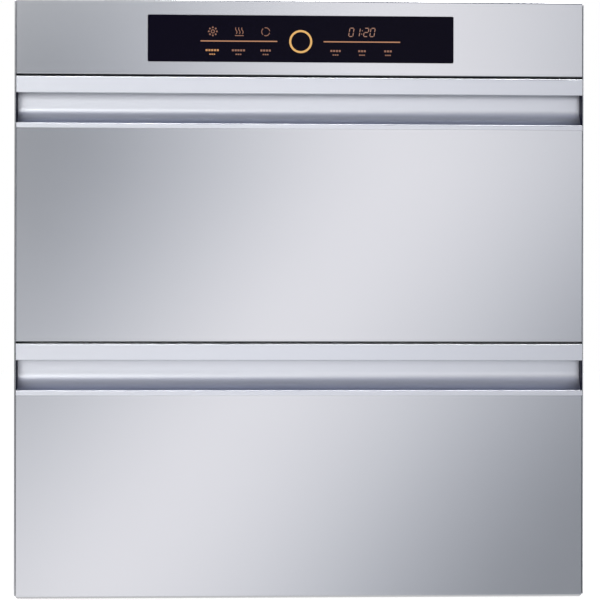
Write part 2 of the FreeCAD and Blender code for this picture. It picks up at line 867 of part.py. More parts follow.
def plate_rack(chamber, height):
    """Two rows of upright pins that hold plates on edge, on rods that lie on the basket's floor."""
    half, front, back, floor, _ = basket_frame(chamber, height)
    base = floor + WIRE_R + WELD_GAP + ROD_R
    middle = (front + back) / 2
    reach = (PIN_COUNT - 1) * PIN_PITCH / 2
    end = reach + PIN_PITCH / 2
    foot = base + ROD_R + WELD_GAP
    tip = foot + PIN_H
    pieces = []
    for y in (middle - PIN_ROWS / 2, middle + PIN_ROWS / 2):
        pieces.append(rod((-end, y, base), (end, y, base), ROD_R))
        for i in range(PIN_COUNT):
            x = -reach + i * PIN_PITCH
            pin = rod((x, y, foot), (x, y, tip), WIRE_R)
            pieces.append(joined([pin, Part.makeSphere(WIRE_R, Vector(x, y, tip))]))
    return pieces


# Carcass


def fixing_places():
    """Furniture screw holes in the side flanges, as (x, z), right-hand side."""
    x = (BODY_X + FRONT_X) / 2
    z = (BODY_Z0 + BODY_Z1) / 2
    return [(x, z - FIXING_SPAN_Z / 2), (x, z + FIXING_SPAN_Z / 2)]


def back_screw_places():
    """Screws that hold the back panel, as (x, z)."""
    x = BODY_INNER_X - REAR_FLANGE / 2
    z0, z1 = BODY_Z0 + COVER_FLANGE * 2, BODY_Z1 - COVER_FLANGE * 2
    return [(sign * x, z0 + (z1 - z0) * i / 3) for sign in (-1, 1) for i in range(4)]


def side_screw_places():
    """Screws through the sides into the flanges of the top and the base, as (y, z)."""
    y0, y1 = Y_LAND + 4 * COVER_FLANGE, Y_BACK_INNER - 4 * COVER_FLANGE
    levels = (BODY_Z0 + COVER_FLANGE * 0.6, BODY_Z1 - COVER_FLANGE * 0.6)
    return [(y, z) for z in levels for y in (y0, (y0 + y1) / 2, y1)]


def side_holes():
    """Clearance holes for the side screws on the right, through side and flange."""
    return [
        rod((BODY_X + 1, y, z), (BODY_X - 3 * SHEET, y, z), SCREW_HOLE_R)
        for y, z in side_screw_places()
    ]


def vent_places(middle, count):
    """Centres of a row of vent slots."""
    return [middle + (i - (count - 1) / 2) * VENT_PITCH for i in range(count)]


def side_panel():
    """Right side: sheet with an outward flange at the front and an inward one at the back."""
    z = (BODY_Z0 + SHEET, BODY_Z1 - SHEET)
    sheet = block((BODY_INNER_X, BODY_X), (Y_LAND, Y_BACK_INNER), z)
    front = block((BODY_INNER_X, FLANGE_X), (Y_LAND, Y_LAND + SHEET), z)
    rear = block((BODY_INNER_X - REAR_FLANGE, BODY_X), (Y_BACK_INNER - SHEET, Y_BACK_INNER), z)
    bead_y = (Y_LAND + BEAD_END, Y_BACK_INNER - BEAD_END)
    beads = []
    for chamber in (LOWER_CHAMBER, UPPER_CHAMBER):
        middle = sum(chamber) / 2
        centre = BODY_X + BEAD_RISE - BEAD_R
        bar = rod((centre, bead_y[0], middle), (centre, bead_y[1], middle), BEAD_R)
        beads.append(bar.common(block((BODY_INNER_X, BODY_X + BEAD_R), bead_y, z)))
    holes = [
        rod((x, Y_LAND - 1, hz), (x, Y_LAND + SHEET + 1, hz), FIXING_R) for x, hz in fixing_places()
    ]
    holes += [
        screw_hole(x, hz, Y_BACK_INNER - SHEET - 1, Y_BACK_INNER + 1)
        for x, hz in back_screw_places()
        if x > 0
    ]
    vent = slot(VENT_L, VENT_H, 2 * SHEET)
    vent_z = (TRAY_Z + TRAY_FLANGE + BODY_Z1 - COVER_FLANGE) / 2
    holes += [
        placed(vent, (BODY_X, Y_BACK_INNER - BEAD_END - VENT_L, hz), angle=90)
        for hz in vent_places(vent_z, SIDE_VENTS)
    ]
    return without(joined([sheet, front, rear] + beads), holes + side_holes())


def top_cover():
    """Top sheet with vent slots over the electronics and flanges turned down inside the sides."""
    y = (Y_LAND, Y_BACK_INNER)
    sheet = block((-BODY_X, BODY_X), y, (BODY_Z1 - SHEET, BODY_Z1))
    down = (BODY_Z1 - COVER_FLANGE, BODY_Z1)
    x1 = BODY_INNER_X
    sides = pair(block((x1 - SHEET, x1), (y[0], y[1] - REAR_FLANGE), down))
    front = block((-x1, x1), (y[0], y[0] + SHEET), down)
    vent = slot(VENT_L, VENT_H, 2 * SHEET)
    middle = Y_BACK_INNER - BEAD_END - VENT_COUNT * VENT_PITCH / 2
    vents = [
        placed(vent, (sign * BODY_X / 2, vy, BODY_Z1), axis=(1, 0, 0), angle=90)
        for sign in (-1, 1)
        for vy in vent_places(middle, VENT_COUNT)
    ]
    holes = [hole for right in side_holes() for hole in pair(right)]
    return without(joined([sheet, front] + sides), vents + holes)


def base_plate():
    """Floor sheet with flanges turned up inside the sides and a lip under the lower chamber."""
    y = (Y_LAND, Y_BACK_INNER)
    sheet = block((-BODY_X, BODY_X), y, (BODY_Z0, BODY_Z0 + SHEET))
    up = (BODY_Z0, BODY_Z0 + COVER_FLANGE)
    x1 = BODY_INNER_X
    sides = pair(block((x1 - SHEET, x1), (y[0] + COVER_FLANGE, y[1] - REAR_FLANGE), up))
    lip = block((-x1, x1), (y[0], y[0] + SHEET), (BODY_Z0, BODY_Z0 + BASE_LIP))
    holes = [hole for right in side_holes() for hole in pair(right)]
    return without(joined([sheet, lip] + sides), holes)


def back_panel():
    """Rear sheet with two banks of vent slots, screw holes and the cord gland's hole."""
    panel = block((-BODY_X, BODY_X), (Y_BACK_INNER, Y_BODY_BACK), (BODY_Z0, BODY_Z1))
    vent = slot(VENT_L, VENT_H, 2 * SHEET)
    cutters = [
        placed(vent, (sign * BODY_X / 2, Y_BODY_BACK, z))
        for sign in (-1, 1)
        for z in vent_places(fan_z(), VENT_COUNT)
    ]
    cutters += [
        screw_hole(x, z, Y_BACK_INNER - 1, Y_BODY_BACK + 1) for x, z in back_screw_places()
    ]
    gx, gz = gland_place()
    cutters.append(rod((gx, Y_BACK_INNER - 1, gz), (gx, Y_BODY_BACK + 1, gz), GLAND_R + GLAND_FIT))
    return without(panel, cutters)


def gland_place():
    """Centre of the cord gland on the back panel, as (x, z)."""
    return BODY_INNER_X - REAR_FLANGE - 3 * GLAND_FLANGE_R, (TRAY_Z + BODY_Z1) / 2


def cord_gland():
    """Bushing in the back panel that the mains lead would pass through."""
    x, z = gland_place()
    end = Y_BODY_BACK + BACK_STANDOFF
    flange = rod((x, Y_BODY_BACK, z), (x, Y_BODY_BACK + GLAND_FLANGE_T, z), GLAND_FLANGE_R)
    sleeve = rod((x, Y_BACK_INNER - GLAND_INSIDE, z), (x, end, z), GLAND_R)
    bore = rod((x, Y_BACK_INNER - GLAND_INSIDE - 1, z), (x, end + 1, z), GLAND_BORE_R)
    return joined([flange, sleeve]).cut(bore)


def middle_rail():
    """Cross member between the mouths of the two chambers."""
    z = (LOWER_CHAMBER[1] + LAND, UPPER_CHAMBER[0] - LAND)
    x = BODY_INNER_X
    web = block((-x, x), (Y_LAND, Y_LAND + SHEET), z)
    depth = (Y_LAND, Y_LAND + LAND)
    shelves = [block((-x, x), depth, (z[0], z[0] + SHEET)), block((-x, x), depth, (z[1] - SHEET, z[1]))]
    return joined([web] + shelves)


def feet():
    """Four moulded feet under the base, each with a recess for its screw."""
    x = BODY_X - FOOT_INSET
    places = [(sx * x, y) for sx in (-1, 1) for y in (Y_LAND + FOOT_INSET, Y_BACK_INNER - FOOT_INSET)]
    solids = []
    for px, py in places:
        cone = Part.makeCone(FOOT_R * 0.85, FOOT_R, FOOT_H, Vector(px, py, 0))
        cone = rounded(cone, FOOT_H / 8, lambda e: at(e, Z, 0))
        recess = rod((px, py, -1), (px, py, FOOT_RECESS_D), FOOT_RECESS_R)
        solids.append(cone.cut(recess))
    return solids


def body_screws():
    """Screws on the back panel and on both sides."""
    one = screw(3 * SHEET)
    solids = [placed(one, (x, Y_BODY_BACK, z)) for x, z in back_screw_places()]
    for y, z in side_screw_places():
        solids += pair(placed(one, (BODY_X, y, z), angle=-90))
    return solids


# Chambers


def liner(chamber):
    """Steel tube of a chamber with a flat land round its mouth."""
    y = (Y_LAND, Y_LINER_BACK)

    def tube(out, span):
        x = CHAMBER_X + out
        shape = block((-x, x), span, (chamber[0] - out, chamber[1] + out))
        return rounded(shape, LINER_CORNER_R + out, lambda e: along(e, Y))

    land = block(
        (-BODY_INNER_X, BODY_INNER_X),
        (Y_LAND, Y_LAND + LINER_T),
        (chamber[0] - LAND, chamber[1] + LAND),
    )
    return joined([land, tube(LINER_T, y)]).cut(tube(0, (y[0] - 1, y[1] + 1)))


def liner_back(chamber):
    """Rear wall of a chamber."""
    out = LINER_T
    x = CHAMBER_X + out
    z = (chamber[0] - out, chamber[1] + out)
    plate = block((-x, x), (Y_LINER_BACK, Y_LINER_BACK + LINER_T), z)
    return rounded(plate, LINER_CORNER_R + out, lambda e: along(e, Y))


def fan_z():
    """Height of the fan's axis."""
    return sum(UPPER_CHAMBER) / 2


def upper_liner_back():
    """Rear wall of the upper chamber, slotted before the fan and before the heater."""
    rows = int(FAN_R // GRILLE_PITCH)
    cutters = []
    for i in range(-rows + 1, rows):
        dz = i * GRILLE_PITCH
        intake = 2 * GRILLE_SHARE * math.sqrt(FAN_R**2 - dz**2)
        for x, width in ((FAN_X, intake), (HEATER_X, GRILLE_SHARE * HEATER_W)):
            place = (x, Y_LINER_BACK, fan_z() + dz)
            cutters.append(placed(slot(width, GRILLE_SLOT_H, 2 * LINER_T), place))
    return without(liner_back(UPPER_CHAMBER), cutters)


def insulation_slab():
    """Mineral-wool slab that lies on the hot lower chamber."""
    z0 = LOWER_CHAMBER[1] + LINER_T
    z1 = UPPER_CHAMBER[0] - LINER_T - SLAB_FIT
    y = (Y_LAND + LAND + SLAB_FIT, Y_LINER_BACK)
    return block((-CHAMBER_X, CHAMBER_X), y, (z0, z1))


# Hot-air unit


def duct_y():
    """Front and rear of the fan housing."""
    front = Y_LINER_BACK + LINER_T
    return front, front + DUCT_D


def fan_housing():
    """Shallow metal box behind the upper chamber that leads air from the fan over the heater."""
    y0, y1 = duct_y()
    half_w, half_h = DUCT_W / 2, DUCT_H / 2
    x = (-half_w, half_w)
    z = (fan_z() - half_h, fan_z() + half_h)
    w = DUCT_WALL
    box = block(x, (y0, y1), z)
    hollow = block((x[0] + w, x[1] - w), (y0 - 1, y1 - w), (z[0] + w, z[1] - w))
    hole = rod((FAN_X, y0, fan_z()), (FAN_X, y1 + 1, fan_z()), SHAFT_R + SHAFT_HOLE_FIT)
    return without(box, [hollow, hole])


def impeller_y():
    """Front and rear of the impeller, midway in the housing."""
    y0, y1 = duct_y()
    middle = (y0 + y1 - DUCT_WALL) / 2
    return middle - FAN_DEPTH / 2, middle + FAN_DEPTH / 2


def fan_impeller():
    """Centrifugal wheel: rear disc, hub, slanted blades and a front ring."""
    y0, y1 = impeller_y()
    z = fan_z()
    disc = rod((FAN_X, y1 - FAN_DISC_T, z), (FAN_X, y1, z), FAN_R)
    hub = rod((FAN_X, y0, z), (FAN_X, y1, z), FAN_HUB_R)
    ring = rod((FAN_X, y0, z), (FAN_X, y0 + FAN_DISC_T, z), FAN_R)
    ring = ring.cut(rod((FAN_X, y0 - 1, z), (FAN_X, y1, z), FAN_R - BLADE_W))
    centre_r = FAN_R - BLADE_W / 2 - BLADE_T
    blades = []
    for i in range(FAN_BLADES):
        blade = block((-BLADE_W / 2, BLADE_W / 2), (y0, y1), (-BLADE_T / 2, BLADE_T / 2))
        blade.rotate(Vector(0, 0, 0), Vector(0, 1, 0), BLADE_SLANT)
        blade.translate(Vector(centre_r, 0, 0))
        blade.rotate(Vector(0, 0, 0), Vector(0, 1, 0), 360 * i / FAN_BLADES)
        blade.translate(Vector(FAN_X, 0, z))
        blades.append(blade)
    bore = rod((FAN_X, y0 - 1, z), (FAN_X, y1 + 1, z), SHAFT_R)
    return joined([disc, hub, ring] + blades).cut(bore)


def motor_y():
    """Front and rear of the fan motor, on the back of the housing."""
    return duct_y()[1], duct_y()[1] + MOTOR_L


def fan_shaft():
    """Shaft from the motor through the housing into the impeller's hub."""
    return rod((FAN_X, impeller_y()[0], fan_z()), (FAN_X, motor_y()[1], fan_z()), SHAFT_R)


def fan_motor():
    """Flat motor on the rear of the fan housing."""
    y0, y1 = motor_y()
    z = fan_z()
    case = rod((FAN_X, y0, z), (FAN_X, y1, z), MOTOR_R)
    case = rounded(case, MOTOR_L / 8, lambda e: at(e, Y, y1))
    bore = rod((FAN_X, y0 - 1, z), (FAN_X, y1 + 1, z), SHAFT_R + SHAFT_FIT)
    return case.cut(bore)


def ptc_heater():
    """Finned heater block in the housing's outlet side."""
    y0, y1 = duct_y()
    y = (y0 + DUCT_WALL, y1 - DUCT_WALL)
    z0, z1 = fan_z() - DUCT_H / 2 + DUCT_WALL, fan_z() + DUCT_H / 2 - DUCT_WALL
    x0, x1 = HEATER_X - HEATER_W / 2, HEATER_X + HEATER_W / 2
    bar = 2 * FIN_T
    bars = [block((x, x + bar), y, (z0, z1)) for x in (x0, HEATER_X - bar / 2, x1 - bar)]
    fins = [
        block((x0, x1), y, (fz, fz + FIN_T)) for fz in spread(z0, z1, (z1 - z0) / HEATER_FINS)
    ]
    return joined(bars + fins)


# Lamp, infrared tubes and their guards


def lamp_place():
    """Depth and height of the lamp's axis."""
    return Y_LINER_BACK - LAMP_OFF, UPPER_CHAMBER[1] - LAMP_DROP


def uv_lamp():
    """Ultraviolet tube under the ceiling of the upper chamber, with metal end caps."""
    y, z = lamp_place()
    half = LAMP_L / 2
    tube = rod((-half, y, z), (half, y, z), LAMP_R)
    return rounded(tube, LAMP_R / 4, lambda e: at(e, X, half) or at(e, X, -half))


def uv_lamp_holders():
    """Two holders on the chamber's rear wall that carry the lamp's ends."""
    y, z = lamp_place()
    half = LAMP_L / 2
    x = (half - HOLDER_W / 2, half + HOLDER_W / 2)
    grip = 2 * LAMP_R
    body = block(x, (y - grip * 0.75, Y_LINER_BACK), (z - grip * 0.75, z + grip * 0.75))
    body = rounded(body, LAMP_R / 2, lambda e: along(e, X) and e.CenterOfMass[Y] < y)
    seat = rod((0, y, z), (half + TUBE_FIT, y, z), LAMP_R + TUBE_FIT)
    return pair(body.cut(seat))


def uv_lamp_guard():
    """Wire guard before the lamp: two long wires, the short ones across them, and four legs."""
    y, z = lamp_place()
    half = LAMP_L / 2 - HOLDER_W
    front = y - 2 * LAMP_R
    reach = LAMP_R + GUARD_WIRE_R + LAMP_CLEAR
    levels = (z - reach, z + reach)
    over = 2 * WIRE_R
    long_wires = [rod((-half, front, h), (half, front, h), WIRE_R) for h in levels]
    across = [
        rod((x, front, levels[0] - over), (x, front, levels[1] + over), GUARD_WIRE_R)
        for x in spread(-half, half, 2 * WIRE_PITCH)
    ]
    leg_x = half - WIRE_PITCH / 2
    legs = [
        rod((sx * leg_x, front, h), (sx * leg_x, Y_LINER_BACK, h), GUARD_WIRE_R)
        for sx in (-1, 1)
        for h in levels
    ]
    return joined(long_wires + across + legs)


def tube_places():
    """Depth and heights of the infrared tubes."""
    return Y_LINER_BACK - TUBE_OFF, [LOWER_CHAMBER[0] + rise for rise in TUBE_RISE]


def infrared_tubes():
    """Two quartz heating tubes across the rear of the lower chamber."""
    y, heights = tube_places()
    half = TUBE_L / 2
    return [rod((-half, y, z), (half, y, z), TUBE_R) for z in heights]


def infrared_sockets():
    """Ceramic sockets on the chamber's rear wall, one at each end of each tube."""
    y, heights = tube_places()
    half = TUBE_L / 2
    solids = []
    for z in heights:
        x = (half - SOCKET_L * 0.7, half + SOCKET_L * 0.3)
        body = block(x, (y - SOCKET_D / 2, Y_LINER_BACK), (z - SOCKET_D / 2, z + SOCKET_D / 2))
        body = rounded(body, SOCKET_D / 8, lambda e: along(e, X) and e.CenterOfMass[Y] < y)
        solids += pair(body.cut(rod((0, y, z), (half + TUBE_FIT, y, z), TUBE_R + TUBE_FIT)))
    return solids


def heater_guard():
    """Wire guard in front of the infrared tubes, on four legs."""
    y = Y_LINER_BACK - GUARD_OFF
    _, heights = tube_places()
    half = TUBE_L / 2 + GUARD_MARGIN
    z0, z1 = heights[0] - GUARD_MARGIN, heights[-1] + GUARD_MARGIN
    over = 2 * ROD_R
    posts = [rod((x, y, z0 - over), (x, y, z1 + over), ROD_R) for x in (-half, 0, half)]
    levels = [z0] + spread(z0, z1, WIRE_PITCH) + [z1]
    bars = [rod((-half, y, z), (half, y, z), WIRE_R) for z in levels]
    legs = [
        rod((sx * half, y, z), (sx * half, Y_LINER_BACK, z), WIRE_R)
        for sx in (-1, 1)
        for z in (z0, z1)
    ]
    return joined(posts + bars + legs)


def thermal_cutout():
    """Snap-disc cut-out on the rear of the lower chamber, with two blade terminals."""
    y0 = Y_LINER_BACK + LINER_T
    z = sum(LOWER_CHAMBER) / 2
    top = y0 + CUTOUT_L
    can = rod((0, y0, z), (0, top, z), CUTOUT_R)
    ear, ear_t = CUTOUT_EAR
    base = block((-ear, ear), (y0, y0 + ear_t), (z - CUTOUT_R, z + CUTOUT_R))
    thick, length, width = BLADE_TERMINAL
    x = (CUTOUT_R - thick) / 2
    blade = block((x, x + thick), (top, top + length), (z - width / 2, z + width / 2))
    return joined([can, base] + pair(blade))


# Electronics over the upper chamber


def electronics_tray():
    """Sheet over the upper chamber, flanged up against the sides, that carries the electronics."""
    y = (Y_LAND + COVER_FLANGE, Y_BACK_INNER - REAR_FLANGE)
    x = BODY_INNER_X
    sheet = block((-x, x), y, (TRAY_Z, TRAY_Z + SHEET))
    sides = pair(block((x - SHEET, x), y, (TRAY_Z, TRAY_Z + TRAY_FLANGE)))
    return joined([sheet] + sides)


def tray_top():
    """Upper face of the electronics tray."""
    return TRAY_Z + SHEET


def power_board():
    """Mains board on four stand-offs, with relays, a fuse, a capacitor and a terminal strip."""
    w, d = POWER_BOARD
    x0 = BODY_INNER_X - REAR_FLANGE - TRAY_FLANGE - w
    y0 = Y_BODY_BACK - 2 * REAR_FLANGE - GLAND_INSIDE - d
    z0 = tray_top()
    z1 = z0 + STANDOFF_H
    board_top = z1 + BOARD_T
    board = block((x0, x0 + w), (y0, y0 + d), (z1, board_top))
    posts = [
        rod((px, py, z0), (px, py, z1), POST_R)
        for px in (x0 + 2 * POST_R, x0 + w - 2 * POST_R)
        for py in (y0 + 2 * POST_R, y0 + d - 2 * POST_R)
    ]

    def standing(place, size):
        x, y = x0 + place[0], y0 + place[1]
        return block((x, x + size[0]), (y, y + size[1]), (board_top, board_top + size[2]))

    relays = [
        standing((RELAY_AT[0] + i * RELAY_PITCH, RELAY_AT[1]), RELAY) for i in range(RELAY_COUNT)
    ]
    fuse_x, fuse_y, fuse_z = x0 + FUSE_AT[0], y0 + FUSE_AT[1], board_top + FUSE_RISE
    fuse = rod((fuse_x, fuse_y, fuse_z), (fuse_x + FUSE_L, fuse_y, fuse_z), FUSE_R)
    can_x, can_y = x0 + CAN_AT[0], y0 + CAN_AT[1]
    can = rod((can_x, can_y, board_top), (can_x, can_y, board_top + CAN_H), CAN_R)
    terminals = standing(TERMINALS_AT, TERMINALS)
    return joined([board, fuse, can, terminals] + posts + relays)


def transformer():
    """Laminated transformer with its winding, bolted to the tray by two feet."""
    w, d, h = TRANSFORMER
    x0 = -BODY_INNER_X / 4
    y0 = Y_BODY_BACK - 2 * REAR_FLANGE - 2 * d
    z0 = tray_top()
    reach, sheet = TRANSFORMER_FOOT
    core = block((x0, x0 + w), (y0 + d / 4, y0 + d * 3 / 4), (z0 + sheet, z0 + h))
    coil = block((x0 + w / 5, x0 + w * 4 / 5), (y0, y0 + d), (z0 + h / 5, z0 + h * 4 / 5))
    coil = rounded(coil, w / 12, lambda e: along(e, Z))
    foot = block((x0 - reach, x0 + w + reach), (y0 + d / 4, y0 + d * 3 / 4), (z0, z0 + sheet))
    return joined([core, coil, foot])


def ozone_generator():
    """Ozone module on the tray, with two hose stubs."""
    w, d, h = OZONE_BOX
    x0 = -BODY_INNER_X * 0.75
    y0 = Y_BODY_BACK - 2 * REAR_FLANGE - 2 * d
    z0 = tray_top()
    case = block((x0, x0 + w), (y0, y0 + d), (z0, z0 + h))
    case = rounded(case, OZONE_CORNER_R, lambda e: along(e, Z))
    x1, z = x0 + w, z0 + h / 2
    stubs = [
        rod((x1, y0 + d * part, z), (x1 + HOSE_STUB_L, y0 + d * part, z), HOSE_STUB_R)
        for part in (1 / 4, 3 / 4)
    ]
    return joined([case] + stubs)


def reed_switches():
    """Reed switches behind the lands, level with the magnets of the drawers."""
    x1 = BODY_INNER_X
    solids = []
    for z0, z1 in ((LOWER_Z0, LOWER_Z1), (UPPER_Z0, UPPER_Z1)):
        z = (z0 + z1) / 2
        y = (Y_LAND + LINER_T, Y_LAND + LINER_T + REED_T)
        body = block((x1 - MAGNET_W, x1), y, (z - REED_L / 2, z + REED_L / 2))
        solids.append(rounded(body, 1.0, lambda e: along(e, Y)))
    return solids


def drawer(name, z0, z1, chamber, basket_height, bottom_r):
    """Every piece of one drawer and its slides, by node name."""
    return {
        f"{name}_front_skin": front_skin(z0, z1, bottom_r),
        f"{name}_handle": handle(z1),
        f"{name}_handle_caps": handle_caps(z1),
        f"{name}_front_backing": front_backing(z0, z1, chamber),
        f"{name}_gasket": gasket(chamber),
        f"{name}_front_screws": front_screws(z1, chamber),
        f"{name}_magnet": magnet(z0, z1),
        f"{name}_outer_rails": outer_rails(chamber),
        f"{name}_middle_rails": middle_rails(chamber),
        f"{name}_inner_rails": inner_rails(chamber),
        f"{name}_brackets": drawer_brackets(chamber),
        f"{name}_basket": basket(chamber, basket_height),
    }


def cabinet():
    """Every node of the cabinet with its solids."""
    nodes = {
        "base_plate": base_plate(),
        "right_side_panel": side_panel(),
        "left_side_panel": mirrored(side_panel()),
        "top_cover": top_cover(),
        "back_panel": back_panel(),
        "middle_rail": middle_rail(),
        "feet": feet(),
        "body_screws": body_screws(),
        "cord_gland": cord_gland(),
        "upper_liner": liner(UPPER_CHAMBER),
        "upper_liner_back": upper_liner_back(),
        "lower_liner": liner(LOWER_CHAMBER),
        "lower_liner_back": liner_back(LOWER_CHAMBER),
        "insulation_slab": insulation_slab(),
        "control_fascia": control_fascia(),
        "display_glass": display_glass(),
        "board_housing": board_housing(),
        "control_board": control_board(),
        "electronics_tray": electronics_tray(),
        "power_board": power_board(),
        "transformer": transformer(),
        "ozone_generator": ozone_generator(),
        "reed_switches": reed_switches(),
        "uv_lamp": uv_lamp(),
        "uv_lamp_holders": uv_lamp_holders(),
        "uv_lamp_guard": uv_lamp_guard(),
        "fan_housing": fan_housing(),
        "fan_motor": fan_motor(),
        "fan_shaft": fan_shaft(),
        "fan_impeller": fan_impeller(),
        "ptc_heater": ptc_heater(),
        "infrared_tubes": infrared_tubes(),
        "infrared_sockets": infrared_sockets(),
        "heater_guard": heater_guard(),
        "thermal_cutout": thermal_cutout(),
    }
    nodes.update(drawer("upper", UPPER_Z0, UPPER_Z1, UPPER_CHAMBER, UPPER_BASKET_H, GAP_EDGE_R))
    nodes.update(drawer("lower", LOWER_Z0, LOWER_Z1, LOWER_CHAMBER, LOWER_BASKET_H, EDGE_R))
    nodes["lower_plate_rack"] = plate_rack(LOWER_CHAMBER, LOWER_BASKET_H)
    return nodes


def main():
    """Builds each node and writes it to its own file."""
    os.makedirs("parts", exist_ok=True)
    nodes = cabinet()
    for name, made in nodes.items():
        pieces = made if isinstance(made, list) else [made]
        solids = [solid for piece in pieces for solid in piece.Solids]
        if not all(solid.isValid() and solid.Volume > 0 for solid in solids):
            print(f"{name} has a faulty solid")
        shape = solids[0] if len(solids) == 1 else Part.makeCompound(solids)
        shape.exportStep(f"parts/{name}.step")
    print(f"{len(nodes)} nodes written")


main()
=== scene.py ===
# %% [markdown]
# # A built-in disinfection cabinet
# The cabinet is a kitchen appliance with two stacked drawers under a narrow control fascia. Its
# shape is already made as solids. This lesson gives them finishes, lays a cove strip in each
# handle, marks the display, and sets up a studio and a camera.

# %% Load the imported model
import json
import math

import bmesh
import bpy
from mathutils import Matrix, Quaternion, Vector


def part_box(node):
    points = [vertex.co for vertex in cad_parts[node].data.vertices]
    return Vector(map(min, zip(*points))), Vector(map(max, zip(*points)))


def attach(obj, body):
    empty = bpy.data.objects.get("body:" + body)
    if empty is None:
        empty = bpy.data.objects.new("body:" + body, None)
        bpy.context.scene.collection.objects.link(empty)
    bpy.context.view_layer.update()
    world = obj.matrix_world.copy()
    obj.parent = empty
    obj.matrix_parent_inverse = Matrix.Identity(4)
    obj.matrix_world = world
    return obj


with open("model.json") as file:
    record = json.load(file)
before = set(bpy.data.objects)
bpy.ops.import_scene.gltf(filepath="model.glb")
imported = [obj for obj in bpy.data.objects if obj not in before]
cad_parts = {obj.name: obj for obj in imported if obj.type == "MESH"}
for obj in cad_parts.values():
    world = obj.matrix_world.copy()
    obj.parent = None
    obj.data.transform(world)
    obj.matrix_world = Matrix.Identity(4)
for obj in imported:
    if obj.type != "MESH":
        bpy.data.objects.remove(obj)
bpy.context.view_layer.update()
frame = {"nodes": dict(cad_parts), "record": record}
nodes = frame["nodes"]
finish_of = {part["node"]: part["material_slot"] for part in frame["record"]["subparts"]}
MM = 0.001

# %% [markdown]
# ## Camera
# The photograph is taken almost square on, from a little to the left, with a long lens: the
# level gaps between the fronts close up slightly towards the right, and all of them sink a
# little that way. A lens shift could tilt those lines too, but a plain camera that is turned
# and rolled a little is closer to how it was taken. It stands two metres away at mid height.

# %% Set up the camera
CAMERA_FAR = 2.0
CAMERA_YAW = math.radians(2.35)
CAMERA_ROLL = math.radians(0.1)
CAMERA_AIM = Vector((-0.0007, -0.2244, 0.3148))
SEEN_WIDTH = 0.6283
SENSOR = 36.0
eye = CAMERA_AIM + CAMERA_FAR * Vector((-math.sin(CAMERA_YAW), -math.cos(CAMERA_YAW), 0))
camera = bpy.data.objects.new("front_camera", bpy.data.cameras.new("front_camera"))
camera.data.sensor_width = SENSOR
camera.data.lens = SENSOR * CAMERA_FAR / SEEN_WIDTH
camera.location = eye
roll = Quaternion((0, 0, 1), CAMERA_ROLL)
camera.rotation_euler = ((CAMERA_AIM - eye).to_track_quat("-Z", "Y") @ roll).to_euler()
bpy.context.scene.collection.objects.link(camera)
bpy.context.scene.camera = camera
print("lens", round(camera.data.lens, 1), "mm")

# %% [markdown]
# ## Tools for node trees
# Every finish on the cabinet is a tree of nodes round one shader. Trees can be drawn by hand in
# the shader editor, but a script can be read and run again. These helpers keep it short: one
# fills sockets by name, and one adds a node with its settings and its links.

# %% Helpers for nodes
def connect(tree, value, socket):
    """Links a socket to an output or to a node's first output, or sets a plain value on it."""
    if isinstance(value, bpy.types.Node):
        value = value.outputs[0]
    if isinstance(value, bpy.types.NodeSocket):
        tree.links.new(value, socket)
    else:
        socket.default_value = value


def fill(tree, sockets, **named):
    """Connects sockets by name, with _ in place of a space."""
    for name, value in named.items():
        connect(tree, value, sockets[name.replace("_", " ")])


def add(tree, kind, *values, **named):
    """Adds a node. Values fill its sockets in order. A small name is a setting, a capital one a socket."""
    node = tree.nodes.new("ShaderNode" + kind)
    for name, value in named.items():
        if name[0].islower():
            setattr(node, name, value)
    for socket, value in zip(node.inputs, values):
        connect(tree, value, socket)
    fill(tree, node.inputs, **{name: value for name, value in named.items() if name[0].isupper()})
    return node


def tinted(red, green, blue):
    return (red, green, blue, 1.0)


print("helpers connect, fill, add and tinted")

# %% [markdown]
# ## Shared effects
# Rolled sheet, moulded plastic and zinc coating all vary a little over their surface, and every
# kitchen surface has some clouding from wiping. Each effect is a group, because several finishes
# use it with their own values. In all of them a pattern swings the roughness a little to both
# sides, and mostly the colour too, so the helpers for that come first.

# %% Helpers for groups
PATTERN_MIDDLE = 0.5
GREY = tinted(0.5, 0.5, 0.5)


def socket_kind(label):
    return "NodeSocketColor" if label == "Color" else "NodeSocketFloat"


def new_group(name, usual, results):
    """A group with named inputs, given with their usual values, and named outputs."""
    tree = bpy.data.node_groups.new(name, "ShaderNodeTree")
    for label, value in usual.items():
        socket = tree.interface.new_socket(label, in_out="INPUT", socket_type=socket_kind(label))
        socket.default_value = value
    for label in results:
        tree.interface.new_socket(label, in_out="OUTPUT", socket_type=socket_kind(label))
    given = tree.nodes.new("NodeGroupInput").outputs
    result = tree.nodes.new("NodeGroupOutput").inputs
    return tree, given, result


def swing(tree, pattern, given):
    """Roughness that goes up and down with a pattern, and the swing itself."""
    centred = add(tree, "Math", pattern, PATTERN_MIDDLE, operation="SUBTRACT")
    amount = add(tree, "Math", centred, given["Amount"], operation="MULTIPLY")
    rough = add(tree, "Math", given["Roughness"], amount, operation="ADD")
    return rough, amount


def swing_colour(tree, amount, given):
    shade = add(tree, "Math", amount, 1.0, operation="ADD")
    return add(tree, "VectorMath", given["Color"], Scale=shade, operation="SCALE")


print("helpers new_group, swing and swing_colour")

# %% [markdown]
# ### Brushed lines
# Rolled and brushed sheet has long fine lines along its length. They could be a scanned picture,
# but noise that is stretched along one axis never repeats and stays sharp close up.

